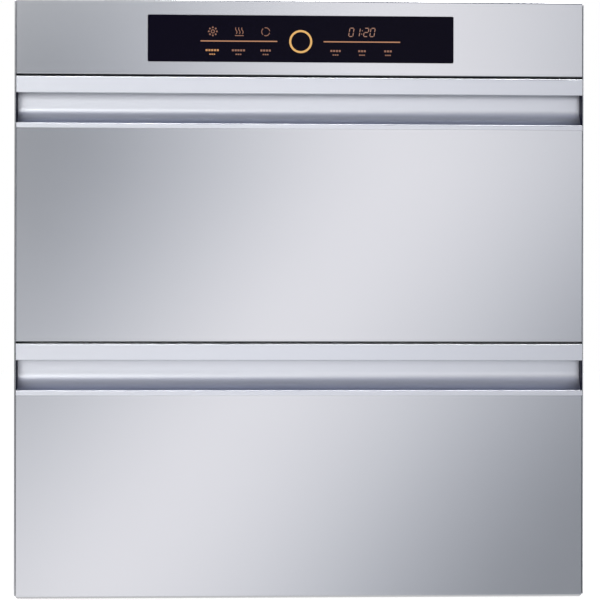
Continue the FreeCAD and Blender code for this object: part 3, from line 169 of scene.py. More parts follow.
# %% Group: brushed lines
def make_brushed_lines():
    tree, given, result = new_group(
        "brushed_lines",
        {"Color": GREY, "Roughness": 0.25, "Amount": 0.03, "Along": 3.0, "Across": 900.0},
        ("Color", "Roughness", "Height"),
    )
    place = add(tree, "TexCoord").outputs["Object"]
    stretch = add(tree, "CombineXYZ", given["Along"], given["Across"], given["Across"])
    lines = add(tree, "VectorMath", place, stretch, operation="MULTIPLY")
    noise = add(tree, "TexNoise", Vector=lines, Scale=1.0, Detail=3.0, Roughness=0.6)
    rough, amount = swing(tree, noise, given)
    fill(tree, result, Color=swing_colour(tree, amount, given), Roughness=rough, Height=noise)
    return tree


brushed_lines = make_brushed_lines()
print("group", brushed_lines.name)

# %% [markdown]
# ### Wiping clouds
# Fingers and cloths leave wide, faint clouds where the gloss changes. A second coat could show
# them, but a slow change of roughness is enough, so this group gives roughness alone.

# %% Group: wiping clouds
def make_wiping_clouds():
    tree, given, result = new_group(
        "wiping_clouds", {"Roughness": 0.25, "Amount": 0.04, "Size": 9.0}, ("Roughness",)
    )
    place = add(tree, "TexCoord").outputs["Object"]
    noise = add(tree, "TexNoise", Vector=place, Scale=given["Size"], Detail=4.0, Distortion=0.6)
    rough, _ = swing(tree, noise, given)
    fill(tree, result, Roughness=rough)
    return tree


wiping_clouds = make_wiping_clouds()
print("group", wiping_clouds.name)

# %% [markdown]
# ### Moulded grain
# A mould or a blasting nozzle leaves a tiny even grain, and the batch has faint patches. Real
# dimples would be far too many for a mesh, so one noise gives the height for a bump and a
# wider one gives the patches.

# %% Group: moulded grain
PATCH_SCALE = 14.0


def make_moulded_grain():
    tree, given, result = new_group(
        "moulded_grain",
        {"Color": GREY, "Roughness": 0.5, "Amount": 0.1, "Size": 1400.0},
        ("Color", "Roughness", "Height"),
    )
    place = add(tree, "TexCoord").outputs["Object"]
    grain = add(tree, "TexNoise", Vector=place, Scale=given["Size"], Detail=2.0)
    patch = add(tree, "TexNoise", Vector=place, Scale=PATCH_SCALE, Detail=3.0)
    rough, amount = swing(tree, patch, given)
    fill(tree, result, Color=swing_colour(tree, amount, given), Roughness=rough, Height=grain)
    return tree


moulded_grain = make_moulded_grain()
print("group", moulded_grain.name)

# %% [markdown]
# ### Zinc spangle
# Zinc coating sets in flat crystals, each with its own shade. Noise would look cloudy here. A
# Voronoi pattern has the same flat cells with straight borders.

# %% Group: zinc spangle
def make_zinc_spangle():
    tree, given, result = new_group(
        "zinc_spangle",
        {"Color": GREY, "Roughness": 0.4, "Amount": 0.12, "Size": 120.0},
        ("Color", "Roughness"),
    )
    place = add(tree, "TexCoord").outputs["Object"]
    cells = add(tree, "TexVoronoi", Vector=place, Scale=given["Size"])
    grey = add(tree, "RGBToBW", cells.outputs["Color"])
    rough, amount = swing(tree, grey, given)
    fill(tree, result, Color=swing_colour(tree, amount, given), Roughness=rough)
    return tree


zinc_spangle = make_zinc_spangle()
print("group", zinc_spangle.name)

# %% [markdown]
# ## Finishes
# The cabinet is made of steel, aluminium, plastics, coated metal and glass. Each finish could be
# drawn from nothing, but they all start from one shader whose plain numbers sit on its own
# sockets. What changes over the surface comes from the groups above.

# %% Helpers for finishes
finishes = {}


def new_finish(name, **plain):
    """A material with one shader, and the plain numbers on that shader's sockets."""
    finish = bpy.data.materials.new(name)
    finish.use_nodes = True
    finishes[name] = finish
    tree = finish.node_tree
    shader = tree.nodes["Principled BSDF"]
    fill(tree, shader.inputs, **plain)
    return tree, shader


def use_group(tree, group, **values):
    return add(tree, "Group", node_tree=group, **values).outputs


def bump(tree, height, strength, depth):
    return add(tree, "Bump", Height=height, Strength=strength, Distance=depth)


print("helpers new_finish, use_group and bump")

# %% [markdown]
# ### Satin steel fronts
# The three fronts are one batch of satin steel whose brush lines are too fine to see from here.
# Strong lines or an anisotropic shader would streak the reflection. The real lines only soften
# it, so roughness does the main work and the lines stay faint.

# %% Satin steel and the steel inside
LINE_DEPTH = 0.02 * MM


def make_sheet(name, colour, roughness, lines, clouds, strength):
    tree, shader = new_finish(name, Metallic=1.0)
    brushed = use_group(tree, brushed_lines, Color=tinted(*colour), Roughness=roughness, Amount=lines)
    wiped = use_group(tree, wiping_clouds, Roughness=brushed["Roughness"], Amount=clouds)
    relief = bump(tree, brushed["Height"], strength, LINE_DEPTH)
    fill(tree, shader.inputs, Base_Color=brushed["Color"], Roughness=wiped["Roughness"], Normal=relief)


make_sheet("satin_steel", (0.655, 0.66, 0.675), roughness=0.18, lines=0.02, clouds=0.02, strength=0.03)
make_sheet("inner_steel", (0.68, 0.68, 0.68), roughness=0.34, lines=0.06, clouds=0.06, strength=0.08)
print("sheet finishes", list(finishes))

# %% [markdown]
# ### Anodised handles
# The handles are drawn aluminium, blasted and anodised: paler, bluer and much softer in their
# reflections than the steel. A clear coat over a metal could give that milky look too. A rougher
# metal with a fine grain is simpler and looks the same here.

# %% Anodised aluminium and plain aluminium
BLAST_PATCHES, BLAST_SIZE, BLAST_DEPTH = 0.04, 2200.0, 0.01 * MM
HANDLE = {"colour": (0.80, 0.815, 0.855), "metallic": 0.92, "roughness": 0.35, "grain": 0.05}


def make_blasted(name, colour, metallic, roughness, grain):
    tree, shader = new_finish(name, Metallic=metallic)
    blasted = use_group(
        tree, moulded_grain, Color=tinted(*colour), Roughness=roughness, Amount=BLAST_PATCHES, Size=BLAST_SIZE
    )
    relief = bump(tree, blasted["Height"], grain, BLAST_DEPTH)
    fill(tree, shader.inputs, Base_Color=blasted["Color"], Roughness=blasted["Roughness"], Normal=relief)
    return tree, shader, blasted["Color"]


make_blasted("anodised_aluminium", **HANDLE)
make_blasted("fin_aluminium", colour=(0.72, 0.72, 0.73), metallic=1.0, roughness=0.35, grain=0.10)
print("aluminium finishes made")

# %% [markdown]
# ### Anodised recess
# In the photograph the floor of each finger recess is darkest and bluest at its foot, under the
# lip. More dark cards could shade it, but they would also darken the fronts. The cove strips
# instead have the handle's finish with painted shade: a darker, bluer tint over the lower part
# of their height.

# %% Anodised recess with painted shade
# Painted shade: the lower part of each cove is tinted darker and bluer.
PAINTED_SHADE_TINT = tinted(0.50, 0.52, 0.68)
PAINTED_SHADE_REACH = 0.42


def make_painted_shade_recess():
    tree, shader, colour = make_blasted("anodised_painted_shade", **HANDLE)
    place = add(tree, "TexCoord").outputs["Generated"]
    height = add(tree, "SeparateXYZ", place).outputs["Z"]
    # The ramp paints shade from the foot of the cove up to a set share of its height.
    ramp = add(tree, "ValToRGB", height)
    foot, untinted = ramp.color_ramp.elements
    foot.color = PAINTED_SHADE_TINT
    untinted.position = PAINTED_SHADE_REACH
    fill(tree, shader.inputs, Base_Color=add(tree, "VectorMath", colour, ramp, operation="MULTIPLY"))


make_painted_shade_recess()
print("recess finish made")

# %% [markdown]
# ### Plastics, rubber and boards
# End plugs, feet, gaskets and boards come from moulds or presses. Each could have its own tree,
# but they share one recipe: a grain that breaks up the highlight and faint patches in the
# colour, as on parts from a textured mould.

# %% Moulded finishes
def make_moulded(name, colour, roughness, grain, patches=0.08, size=1400.0, depth=0.03, specular=0.5):
    tree, shader = new_finish(name, Specular_IOR_Level=specular)
    moulded = use_group(
        tree, moulded_grain, Color=tinted(*colour), Roughness=roughness, Amount=patches, Size=size
    )
    relief = bump(tree, moulded["Height"], grain, depth * MM)
    fill(tree, shader.inputs, Base_Color=moulded["Color"], Roughness=moulded["Roughness"], Normal=relief)


make_moulded("black_plastic", (0.005, 0.006, 0.020), roughness=0.5, grain=0.25, specular=0.04)
make_moulded("white_plastic", (0.80, 0.80, 0.78), roughness=0.45, grain=0.15)
make_moulded("grey_silicone", (0.30, 0.31, 0.32), roughness=0.62, grain=0.2)
make_moulded("black_rubber", (0.03, 0.03, 0.03), roughness=0.75, grain=0.4)
make_moulded("green_board", (0.03, 0.20, 0.08), roughness=0.3, grain=0.1, patches=0.3, size=500.0)
make_moulded("dark_iron", (0.12, 0.12, 0.12), roughness=0.45, grain=0.3, patches=0.2)
make_moulded("white_ceramic", (0.85, 0.83, 0.78), roughness=0.65, grain=0.25)
make_moulded(
    "mineral_wool", (0.72, 0.66, 0.45), roughness=0.9, grain=0.8, patches=0.5, size=260.0, depth=0.8
)
print("moulded finishes made")

# %% [markdown]
# ### Plated and coated metal
# Slides and screws are zinc plated, baskets are electropolished wire, and the hidden carcass is
# galvanised sheet. They could be plain metals, but then large sheets look like plastic. The
# spangle, strong on the carcass and faint on the rest, tells them apart.

# %% Plated finishes
PLATED_CLOUDS = 0.08


def make_plated(name, colour, roughness, spangle, size, metallic):
    tree, shader = new_finish(name, Metallic=metallic)
    coated = use_group(
        tree, zinc_spangle, Color=tinted(*colour), Roughness=roughness, Amount=spangle, Size=size
    )
    wiped = use_group(tree, wiping_clouds, Roughness=coated["Roughness"], Amount=PLATED_CLOUDS)
    fill(tree, shader.inputs, Base_Color=coated["Color"], Roughness=wiped["Roughness"])


make_plated("zinc_steel", (0.60, 0.61, 0.62), roughness=0.30, spangle=0.06, size=300.0, metallic=1.0)
make_plated("bright_wire", (0.75, 0.75, 0.76), roughness=0.14, spangle=0.03, size=200.0, metallic=1.0)
make_plated("galvanised_sheet", (0.50, 0.51, 0.53), roughness=0.55, spangle=0.16, size=110.0, metallic=0.25)
print("plated finishes made")

# %% [markdown]
# ### Glass
# The display is clear glass printed black behind. Clear glass over a black sheet would show the
# same, but one black plate with a weak gloss is simpler. The ultraviolet lamp is a clear tube,
# and the infrared tubes are milky quartz, so these two let light through.

# %% Glass finishes
GLASS_PATCHES = 0.03


def make_glass(name, colour, roughness, transmission, specular):
    tree, shader = new_finish(name, Transmission_Weight=transmission, Specular_IOR_Level=specular)
    drawn = use_group(
        tree, moulded_grain, Color=tinted(*colour), Roughness=roughness, Amount=GLASS_PATCHES
    )
    fill(tree, shader.inputs, Base_Color=drawn["Color"], Roughness=drawn["Roughness"])


make_glass("black_glass", (0.0038, 0.0030, 0.0088), roughness=0.08, transmission=0.0, specular=0.03)
make_glass("lamp_glass", (0.88, 0.90, 0.95), roughness=0.12, transmission=0.6, specular=0.5)
make_glass("quartz_glass", (0.82, 0.80, 0.76), roughness=0.35, transmission=0.35, specular=0.5)
print("glass finishes made")

# %% [markdown]
# ## Dress the solids
# Every piece of the cabinet has one finish. They could be given by hand, but the record already
# names the finish of each solid, so one loop dresses them all.

# %% Put the finishes on the solids
for name, solid in nodes.items():
    solid.data.materials.clear()
    solid.data.materials.append(finishes[finish_of[name]])
print(len(nodes), "solids dressed with", len(set(finish_of.values())), "finishes")

# %% [markdown]
# ## Coves in the finger recesses
# On the real handle the back wall of the recess runs out into the strip below it in one long
# hollow curve. The solids keep room for the fingers with a short curve and a slope. A bevel
# would change the handle itself, so a cove strip is laid over the slope instead and let a
# little into the metal. Its outline is one arc that leaves the wall without a crease and ends
# on the ledge. The shade starts lower on the upper handle, so its arc is the smaller one.

# %% Outline of a cove
COVE_STEPS = 48
COVE_PLAY = 0.1 * MM
LET_IN = 0.4 * MM
WALL_DEPTH = 15.0 * MM
LEDGE = 5.5 * MM
SLOPE_TOP = 14.0 * MM
SLOPE_FOOT = 6.6 * MM


def cove_outline(radius, top):
    """Points (depth, height) from the front and the foot of a handle: the arc, then the hidden back."""
    last = math.asin((top - LEDGE) / radius)
    turns = [last * step / COVE_STEPS for step in range(COVE_STEPS + 1)]
    seen = [(WALL_DEPTH - radius * (1 - math.cos(t)), top - radius * math.sin(t)) for t in turns]
    end = seen[-1][0]
    under = LEDGE - LET_IN
    behind = WALL_DEPTH + LET_IN
    return seen + [(end, under), (SLOPE_FOOT, under), (behind, SLOPE_TOP), (behind, top)]


print("cove outline of", COVE_STEPS, "steps")

# %% [markdown]
# ### Lay the coves
# Each real recess is part of its handle and moves with the drawer. The strip could follow a
# curve object, but a straight prism between the plugs needs no more than its outline twice.

# %% Lay the coves
UPPER_COVE = {"radius": 19.0 * MM, "top": 22.2 * MM}
LOWER_COVE = {"radius": 22.0 * MM, "top": 25.0 * MM}


def lay_cove(handle, plugs, body, radius, top):
    low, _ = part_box(handle)
    plug_sides = [vertex.co.x for vertex in nodes[plugs].data.vertices]
    left = max(x for x in plug_sides if x < 0) + COVE_PLAY
    right = min(x for x in plug_sides if x > 0) - COVE_PLAY
    outline = [(low.y + depth, low.z + height) for depth, height in cove_outline(radius, top)]
    count = len(outline)
    corners = [(x, y, z) for x in (left, right) for y, z in outline]
    sides = [(i, i + count, (i + 1) % count + count, (i + 1) % count) for i in range(count)]
    ends = [tuple(range(count)), tuple(reversed(range(count, 2 * count)))]
    mesh = bpy.data.meshes.new(handle + "_cove")
    mesh.from_pydata(corners, [], sides + ends)
    # The cove's finish carries painted shade towards its foot.
    mesh.materials.append(finishes["anodised_painted_shade"])
    cove = bpy.data.objects.new(handle + "_cove", mesh)
    bpy.context.scene.collection.objects.link(cove)
    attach(cove, body)


lay_cove("upper_handle", "upper_handle_caps", "upper_drawer", **UPPER_COVE)
lay_cove("lower_handle", "lower_handle_caps", "lower_drawer", **LOWER_COVE)
print("two coves laid")

# %% [markdown]
# ## Display marks
# Lamps behind the black glass light a ring to press, two thin lines, three function signs, a
# time and two rows of dashes for the touch keys. A picture on the glass would blur close up, so
# each mark is a thin raised ribbon. A path gives its middle line, and a helper gives it width.

# %% Ribbons on the glass
glass_low, glass_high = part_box("display_glass")
GLASS_FACE = glass_low.y
GLASS_MIDDLE_Z = (glass_low.z + glass_high.z) / 2
MARK_RISE = 0.12 * MM


def ribbon(shape, path, width, closed):
    """Adds a flat strip along a path of (x, z) in millimetres from the glass's middle."""
    points = [Vector((x, z)) for x, z in path]
    count = len(points)
    rows = []
    for i, point in enumerate(points):
        before = points[i - 1] if i or closed else point
        after = points[(i + 1) % count] if i + 1 < count or closed else point
        along = (after - before).normalized()
        side = Vector((-along.y, along.x)) * width / 2
        corners = []
        for edge in (point + side, point - side):
            for y in (GLASS_FACE - MARK_RISE, GLASS_FACE):
                corners.append(shape.verts.new((edge.x * MM, y, GLASS_MIDDLE_Z + edge.y * MM)))
        rows.append(corners)
    pairs = zip(rows, rows[1:] + rows[:1]) if closed else zip(rows, rows[1:])
    for (a, b, c, d), (e, f, g, h) in pairs:
        for face in ((a, c, g, e), (b, f, h, d), (a, e, f, b), (c, d, h, g)):
            shape.faces.new(face)
    if not closed:
        for a, b, c, d in (rows[0], rows[-1]):
            shape.faces.new((a, b, d, c))


print("glass face at y", round(GLASS_FACE, 4), "and its middle at z", round(GLASS_MIDDLE_Z, 4))

# %% [markdown]
# ### Marks from ribbons
# A sign on the display is lit as a whole, so its ribbons are joined into one piece. Each could
# be an object of its own, but one piece per sign is easier to name and to handle.

# %% Helpers for marks
def arc(x, z, radius, start, end, steps):
    turns = [math.radians(start + (end - start) * i / steps) for i in range(steps + 1)]
    return [(x + radius * math.cos(t), z + radius * math.sin(t)) for t in turns]


def circle(x, z, radius, steps):
    return arc(x, z, radius, 0, 360, steps)[:-1]


def mark(name, finish, strips):
    """One piece from several ribbons, each given as (path, width, closed)."""
    shape = bmesh.new()
    for path, width, closed in strips:
        ribbon(shape, path, width, closed)
    bmesh.ops.recalc_face_normals(shape, faces=shape.faces)
    mesh = bpy.data.meshes.new(name)
    shape.to_mesh(mesh)
    shape.free()
    piece = bpy.data.objects.new(name, mesh)
    mesh.materials.append(finish)
    bpy.context.scene.collection.objects.link(piece)
    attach(piece, "cabinet")


print("helpers arc, circle and mark")

# %% [markdown]
# ### Glow of the marks
# The ring is golden and the rest amber, some marks brighter than others. Lamps under the glass
# could light them, but a shader that glows needs none and keeps the marks crisp. The grain makes
# the glow a little uneven, as through a diffuser.

# %% Glowing finishes
UNLIT = tinted(0.02, 0.015, 0.01)
GLOW_PATCHES = 0.12


def glow(name, colour, strength):
    tree, shader = new_finish(
        name, Base_Color=UNLIT, Emission_Strength=strength, Roughness=0.4, Specular_IOR_Level=0.1
    )
    lit = use_group(tree, moulded_grain, Color=tinted(*colour), Amount=GLOW_PATCHES)
    fill(tree, shader.inputs, Emission_Color=lit["Color"])
    return finishes[name]


golden_ring = glow("golden_ring", (1.0, 0.57, 0.19), strength=0.76)
bright_amber = glow("bright_amber", (1.0, 0.48, 0.20), strength=0.58)
pale_amber = glow("pale_amber", (1.0, 0.48, 0.27), strength=0.48)
time_amber = glow("time_amber", (1.0, 0.54, 0.40), strength=0.42)
dim_amber = glow("dim_amber", (1.0, 0.48, 0.34), strength=0.28)
print("five glowing finishes")

# %% [markdown]
# ### Ring and lines
# The ring is the main button, at the middle of the glass. The lines part the signs from the key
# rows. A torus and two thin boxes would do, but as ribbons they lie as flat as the other marks.

# %% Ring and lines
RING_X, RING_R, RING_W, RING_STEPS = -0.4, 11.0, 2.15, 72
LINE_Z, LINE_W = -2.7, 1.15
LINE_ENDS = ((-105.2, -25.0), (23.6, 104.0))
mark("display_ring", golden_ring, [(circle(RING_X, LINE_Z, RING_R, RING_STEPS), RING_W, True)])
lines = [([(left, LINE_Z), (right, LINE_Z)], LINE_W, False) for left, right in LINE_ENDS]
mark("display_lines", pale_amber, lines)
print("ring and", len(lines), "lines on the glass")

# %% [markdown]
# ### Function signs
# Over the left line stand three generic signs: a ring of dots for disinfecting, rising steam over
# a bar for drying and a ring of three arcs for circulating air. Each is drawn by a short loop
# along a circle or a wave, which is easier to change than a drawn outline.

# %% Function signs
SIGN_X = (-92.4, -64.7, -37.1)
SIGN_Z, SIGN_R, SIGN_W = 7.3, 4.2, 0.8
DOT_TURNS, DOT_R, DOT_W, DOT_STEPS = range(0, 360, 45), 0.5, 0.9, 10
CORE_R, CORE_STEPS = 1.7, 20
STEAM_X, STEAM_SWAY, STEAM_FOOT, STEAM_RISE, STEAM_STEPS = (-3.2, 0, 3.2), 0.8, -2.4, 0.6, 12
STEAM_BAR_Z, STEAM_BAR_HALF = -4.2, 4.6
AIR_STARTS, AIR_SWEEP, AIR_STEPS = (10, 130, 250), 95, 16
dots_x, steam_x, air_x = SIGN_X

dots = [(circle(dots_x, SIGN_Z, CORE_R, CORE_STEPS), SIGN_W, True)]
for turn in DOT_TURNS:
    t = math.radians(turn)
    x, z = dots_x + SIGN_R * math.cos(t), SIGN_Z + SIGN_R * math.sin(t)
    dots.append((circle(x, z, DOT_R, DOT_STEPS), DOT_W, True))
mark("display_sign_dots", dim_amber, dots)

bar_z = SIGN_Z + STEAM_BAR_Z
steam = [([(steam_x - STEAM_BAR_HALF, bar_z), (steam_x + STEAM_BAR_HALF, bar_z)], SIGN_W, False)]
for offset in STEAM_X:
    wave = []
    for i in range(STEAM_STEPS):
        sway = STEAM_SWAY * math.sin(i * math.tau / STEAM_STEPS)
        wave.append((steam_x + offset + sway, SIGN_Z + STEAM_FOOT + STEAM_RISE * i))
    steam.append((wave, SIGN_W, False))
mark("display_sign_steam", dim_amber, steam)

air = [(arc(air_x, SIGN_Z, SIGN_R, a, a + AIR_SWEEP, AIR_STEPS), SIGN_W, False) for a in AIR_STARTS]
mark("display_sign_air", dim_amber, air)
print(len(SIGN_X), "function signs")

# %% [markdown]
# ### Time
# The display shows a time in slanted seven-bar digits, as most timers do. A text object would
# need a font, so the digits are ribbons too. Their bars are named a to g in the usual order.

# %% Time digits
BARS = {"a": ((0, 2), (1, 2)), "b": ((1, 2), (1, 1)), "c": ((1, 1), (1, 0)), "d": ((0, 0), (1, 0)),
        "e": ((0, 1), (0, 0)), "f": ((0, 2), (0, 1)), "g": ((0, 1), (1, 1))}
DIGITS = {"0": "abcdef", "1": "bc", "2": "abged"}
DIGIT_W, DIGIT_H, DIGIT_Z, SLANT = 4.4, 4.4, 3.0, 0.16
BAR_W, BAR_SHORT = 0.75, 0.12
TIME = ((49.8, "0"), (56.4, "1"), (65.4, "2"), (72.0, "0"))
COLON_X, COLON_UP, COLON_W = 63.2, (0.6, 1.4), 0.8


def digit_point(left, across, up):
    height = DIGIT_H * up
    return (left + DIGIT_W * across + SLANT * height, DIGIT_Z + height)


strips = []
for left, figure in TIME:
    for bar in DIGITS[figure]:
        (xa, za), (xb, zb) = BARS[bar]
        cut = Vector((xb - xa, zb - za)) * BAR_SHORT
        ends = ((xa + cut.x, za + cut.y), (xb - cut.x, zb - cut.y))
        strips.append(([digit_point(left, x, z) for x, z in ends], BAR_W, False))
for up in COLON_UP:
    x, z = digit_point(COLON_X, 0, up)
    strips.append(([(x - COLON_W / 2, z), (x + COLON_W / 2, z)], COLON_W, False))
mark("display_time", time_amber, strips)
print("time of", len(strips), "bars")

# %% [markdown]
# ### Key rows
# Under each line stand three touch keys. Each is marked with a row of plain dashes and a shorter
# row below. The first key is lit brighter, as the one in use. An array could copy one dash, but
# a loop makes the rows of all keys at once.

# %% Key rows
KEYS = ((-93.0, 5), (-65.6, 5), (-37.2, 4), (36.1, 4), (63.9, 3), (91.2, 3))
UPPER_ROW = {"z": -12.3, "tall": 2.0, "pitch": 2.9}
LOWER_ROW = {"z": -16.5, "tall": 1.3, "pitch": 2.2}
LOWER_COUNT = 3
DASH_SHARE = 0.72


def dash_row(key_x, count, z, tall, pitch):
    half = DASH_SHARE * pitch / 2
    places = [key_x + (i - (count - 1) / 2) * pitch for i in range(count)]
    return [([(x - half, z), (x + half, z)], tall, False) for x in places]


for number, (key_x, upper_count) in enumerate(KEYS):
    dashes = dash_row(key_x, upper_count, **UPPER_ROW) + dash_row(key_x, LOWER_COUNT, **LOWER_ROW)
    mark(f"display_key_{number + 1}", bright_amber if number == 0 else dim_amber, dashes)
print(len(KEYS), "touch keys marked")

# %% [markdown]
# ## Studio
# Steel shows its surroundings, so the studio makes the look. Lamps alone would leave the fronts
# black between their highlights. Glowing cards give them something to show, as in a photographer's
# studio. The cards appear in reflections only: the camera and the shadows don't see them.

# %% Helpers for cards
WHITE, PALE = (1.0, 1.0, 1.0), (0.90, 0.93, 1.0)
DUSK, STEEL_BLUE = (0.72, 0.76, 1.0), (0.82, 0.87, 1.0)


def stage_plane(name, corners, material):
    mesh = bpy.data.meshes.new(name)
    mesh.from_pydata(corners, [], [(0, 1, 2, 3)])
    mesh.materials.append(material)
    plane = bpy.data.objects.new(name, mesh)
    bpy.context.scene.collection.objects.link(plane)
    return plane


def stage_card(name, corners, strength):
    """A card that only reflections show, with its tree and its glow, which still needs a colour."""
    material = bpy.data.materials.new(name)
    material.use_nodes = True
    tree = material.node_tree
    tree.nodes.clear()
    emission = add(tree, "Emission", Strength=strength)
    add(tree, "OutputMaterial", Surface=emission)
    card = stage_plane(name, corners, material)
    card.visible_camera = False
    card.visible_diffuse = False
    card.visible_shadow = False
    card.visible_transmission = False
    return tree, emission


def upright(x, y, z):
    """Corners of a standing card, from one upright edge to the other."""
    return [(x[0], y[0], z[0]), (x[1], y[1], z[0]), (x[1], y[1], z[1]), (x[0], y[0], z[1])]


def lying(x, y, z):
    """Corners of a lying or sloping card, from its front edge to its back edge."""
    return [(x[0], y[0], z[0]), (x[1], y[0], z[0]), (x[1], y[1], z[1]), (x[0], y[1], z[1])]


print("helpers stage_plane, stage_card, upright and lying")

# %% [markdown]
# ### Card with the diagonal band
# All three fronts show one bright diagonal band, brightest at its middle. It could be painted
# into the steel, but then it would move with the drawers. A tall card behind the camera carries
# it instead: a ramp of greys runs across the card, and over the height that the fascia shows it
# is set off a little to the side, as in the photograph.

# %% The card with the diagonal band
CARD_X, CARD_Y, CARD_Z = (-0.72, 1.05), -2.8, (-0.70, 1.24)
CARD_GLOW = 1.30
BAND = (
    (0.00, 0.19), (0.10, 0.21), (0.18, 0.30), (0.30, 0.55), (0.42, 0.80), (0.50, 0.94),
    (0.57, 0.90), (0.72, 0.70), (0.80, 0.52), (0.94, 0.28), (1.00, 0.23),
)
ACROSS_X, ACROSS_Z, SHIFT = 0.441, -0.315, 0.565
CRANK_Z, CRANK = (0.73, 0.85), 0.111
RED_DARK, RED_GAIN = 0.91, 0.11
BLUE_DARK, BLUE_LOSS = 1.15, 0.12


def cool(level):
    """A grey that turns bluer as it gets darker, as the steel does."""
    return tinted(level * (RED_DARK + RED_GAIN * level), level, level * (BLUE_DARK - BLUE_LOSS * level))


def make_band_card():
    tree, emission = stage_card("band_card", upright(CARD_X, (CARD_Y, CARD_Y), CARD_Z), CARD_GLOW)
    place = add(tree, "TexCoord").outputs["Object"]
    across = add(tree, "VectorMath", place, (ACROSS_X, 0, ACROSS_Z), operation="DOT_PRODUCT")
    height = add(tree, "SeparateXYZ", place).outputs["Z"]
    low, high = CRANK_Z
    crank = add(tree, "MapRange", height, From_Min=low, From_Max=high, To_Min=SHIFT, To_Max=SHIFT + CRANK)
    shifted = add(tree, "Math", across.outputs["Value"], crank, operation="ADD")
    ramp = add(tree, "ValToRGB", shifted)
    stops = ramp.color_ramp.elements
    for position, _ in BAND[len(stops):]:
        stops.new(position)
    for stop, (position, level) in zip(stops, BAND):
        stop.position = position
        stop.color = cool(level)
    fill(tree, emission.inputs, Color=ramp)


make_band_card()
print("band card with", len(BAND), "greys")

# %% [markdown]
# ### Cards that fade
# The handles are paler on the left, and their coves go from a highlight into a soft dusk. A
# bright strip over the band card, fading to the right, gives the first, and a ceiling that
# darkens towards the cabinet gives the second. The floor under the view fades in the same way,
# so that the fronts stay pale from above. Several plain cards would leave steps in the metal.

# %% Strip, ceiling and low floor
STRIP_X, STRIP_Y, STRIP_Z = (-2.2, 1.6), -2.82, (CARD_Z[1], 1.84)
STRIP_FADE = {"axis": "X", "span": (-0.9, 0.8), "levels": (1.0, 0.04), "strength": 3.2, "tint": WHITE}
WIDE = (-3.0, 3.0)
CEILING_Y, CEILING_Z = (STRIP_Y, -0.47), (STRIP_Z[1], 2.3)
CEILING_FADE = {"axis": "Y", "span": CEILING_Y, "levels": (1.0, 0.06), "strength": 0.54, "tint": DUSK}
FLOOR_Y, FLOOR_Z = (-2.6, 0.3), -0.75
FLOOR_FADE = {"axis": "Y", "span": (-2.6, -0.6), "levels": (0.95, 0.30), "strength": 1.0, "tint": PALE}


def fading_card(name, corners, axis, span, levels, strength, tint):
    """A card whose glow goes from one level to another between two places along an axis."""
    tree, emission = stage_card(name, corners, strength)
    place = add(tree, "SeparateXYZ", add(tree, "TexCoord").outputs["Object"]).outputs[axis]
    (start, end), (first, last) = span, levels
    fade = add(tree, "MapRange", place, From_Min=start, From_Max=end, To_Min=first, To_Max=last)
    fill(tree, emission.inputs, Color=add(tree, "VectorMath", tint, Scale=fade, operation="SCALE"))


fading_card("bright_strip", upright(STRIP_X, (STRIP_Y, STRIP_Y), STRIP_Z), **STRIP_FADE)
fading_card("dusky_ceiling", lying(WIDE, CEILING_Y, CEILING_Z), **CEILING_FADE)
fading_card("low_floor", lying(WIDE, FLOOR_Y, (FLOOR_Z, FLOOR_Z)), **FLOOR_FADE)
print("three fading cards")

# %% [markdown]
# ### Plain cards
# Thin lines of light and dark run along the edges of the real fronts. Each comes from one card:
# a pale one on the left and a bright one overhead light the edges of the handles, one under the
# lower drawer lights its bottom edge, and one on the right lights the edge strip there. Lamps
# could do this too, but their light would also fall on everything else.

# %% Plain cards
LEFT_X, LEFT_Y, LEFT_Z, LEFT_GLOW = (CARD_X[0], -1.5), (-2.81, -2.3), (0.1, CARD_Z[1]), 1.0
OVER_X, OVER_Y, OVER_GLOW = (-1.5, 1.5), (CEILING_Y[1], 0.6), 12.0
EDGE_X, EDGE_Y, EDGE_Z, EDGE_GLOW = (-0.6, 0.6), (-0.30, -0.20), -0.04, 0.8
RIGHT_X, RIGHT_Y, RIGHT_Z, RIGHT_GLOW = 1.7, (-1.8, -0.3), (-0.25, 0.95), 1.6


def plain_card(name, corners, level, tint=WHITE):
    tree, emission = stage_card(name, corners, level)
    fill(tree, emission.inputs, Color=tinted(*tint))


plain_card("left_card", upright(LEFT_X, LEFT_Y, LEFT_Z), LEFT_GLOW)
plain_card("overhead_card", lying(OVER_X, OVER_Y, (CEILING_Z[1], CEILING_Z[1])), OVER_GLOW)
plain_card("edge_card", lying(EDGE_X, EDGE_Y, (EDGE_Z, EDGE_Z)), EDGE_GLOW)
plain_card("right_card", upright((RIGHT_X, RIGHT_X), RIGHT_Y, RIGHT_Z), RIGHT_GLOW)
print("four plain cards")

# %% [markdown]
# ### Dark flags
# The real fronts end in dark lines at their sides. In a white room these would vanish, so dark
# flags stand beside the view. A photographer uses black cloth in the same way.

# %% Flags
LEFT_FLAG = {"x": (-1.3, -1.3), "y": (-2.2, 0.6), "z": (-0.25, 0.85)}
HIGH_FLAG = {"x": (1.6, 1.6), "y": (CARD_Y, 0.2), "z": (RIGHT_Z[1], 2.3)}
LOW_FLAG = {"x": (1.6, 1.6), "y": (CARD_Y, 0.2), "z": (-1.6, RIGHT_Z[0])}
RIGHT_FLAG = {"x": (1.06, RIGHT_X), "y": (CARD_Y, RIGHT_Y[0]), "z": RIGHT_Z}
plain_card("left_flag", upright(**LEFT_FLAG), level=0.06, tint=STEEL_BLUE)
plain_card("right_high_flag", upright(**HIGH_FLAG), level=0.08, tint=STEEL_BLUE)
plain_card("right_low_flag", upright(**LOW_FLAG), level=0.08, tint=STEEL_BLUE)
plain_card("right_flag", upright(**RIGHT_FLAG), level=0.3, tint=STEEL_BLUE)
print("four flags")

# %% [markdown]
# ### Floor
# The photograph has a white ground. A white floor alone would come out grey, and more light would
# bleach the steel. So the floor takes the cabinet's shadow as a plain pale paint, and to the
# camera alone it glows a little as well.

# %% Floor
FLOOR_HALF = 6.0
FLOOR_PAINT = tinted(0.82, 0.82, 0.82)
FLOOR_LIFT = 0.72


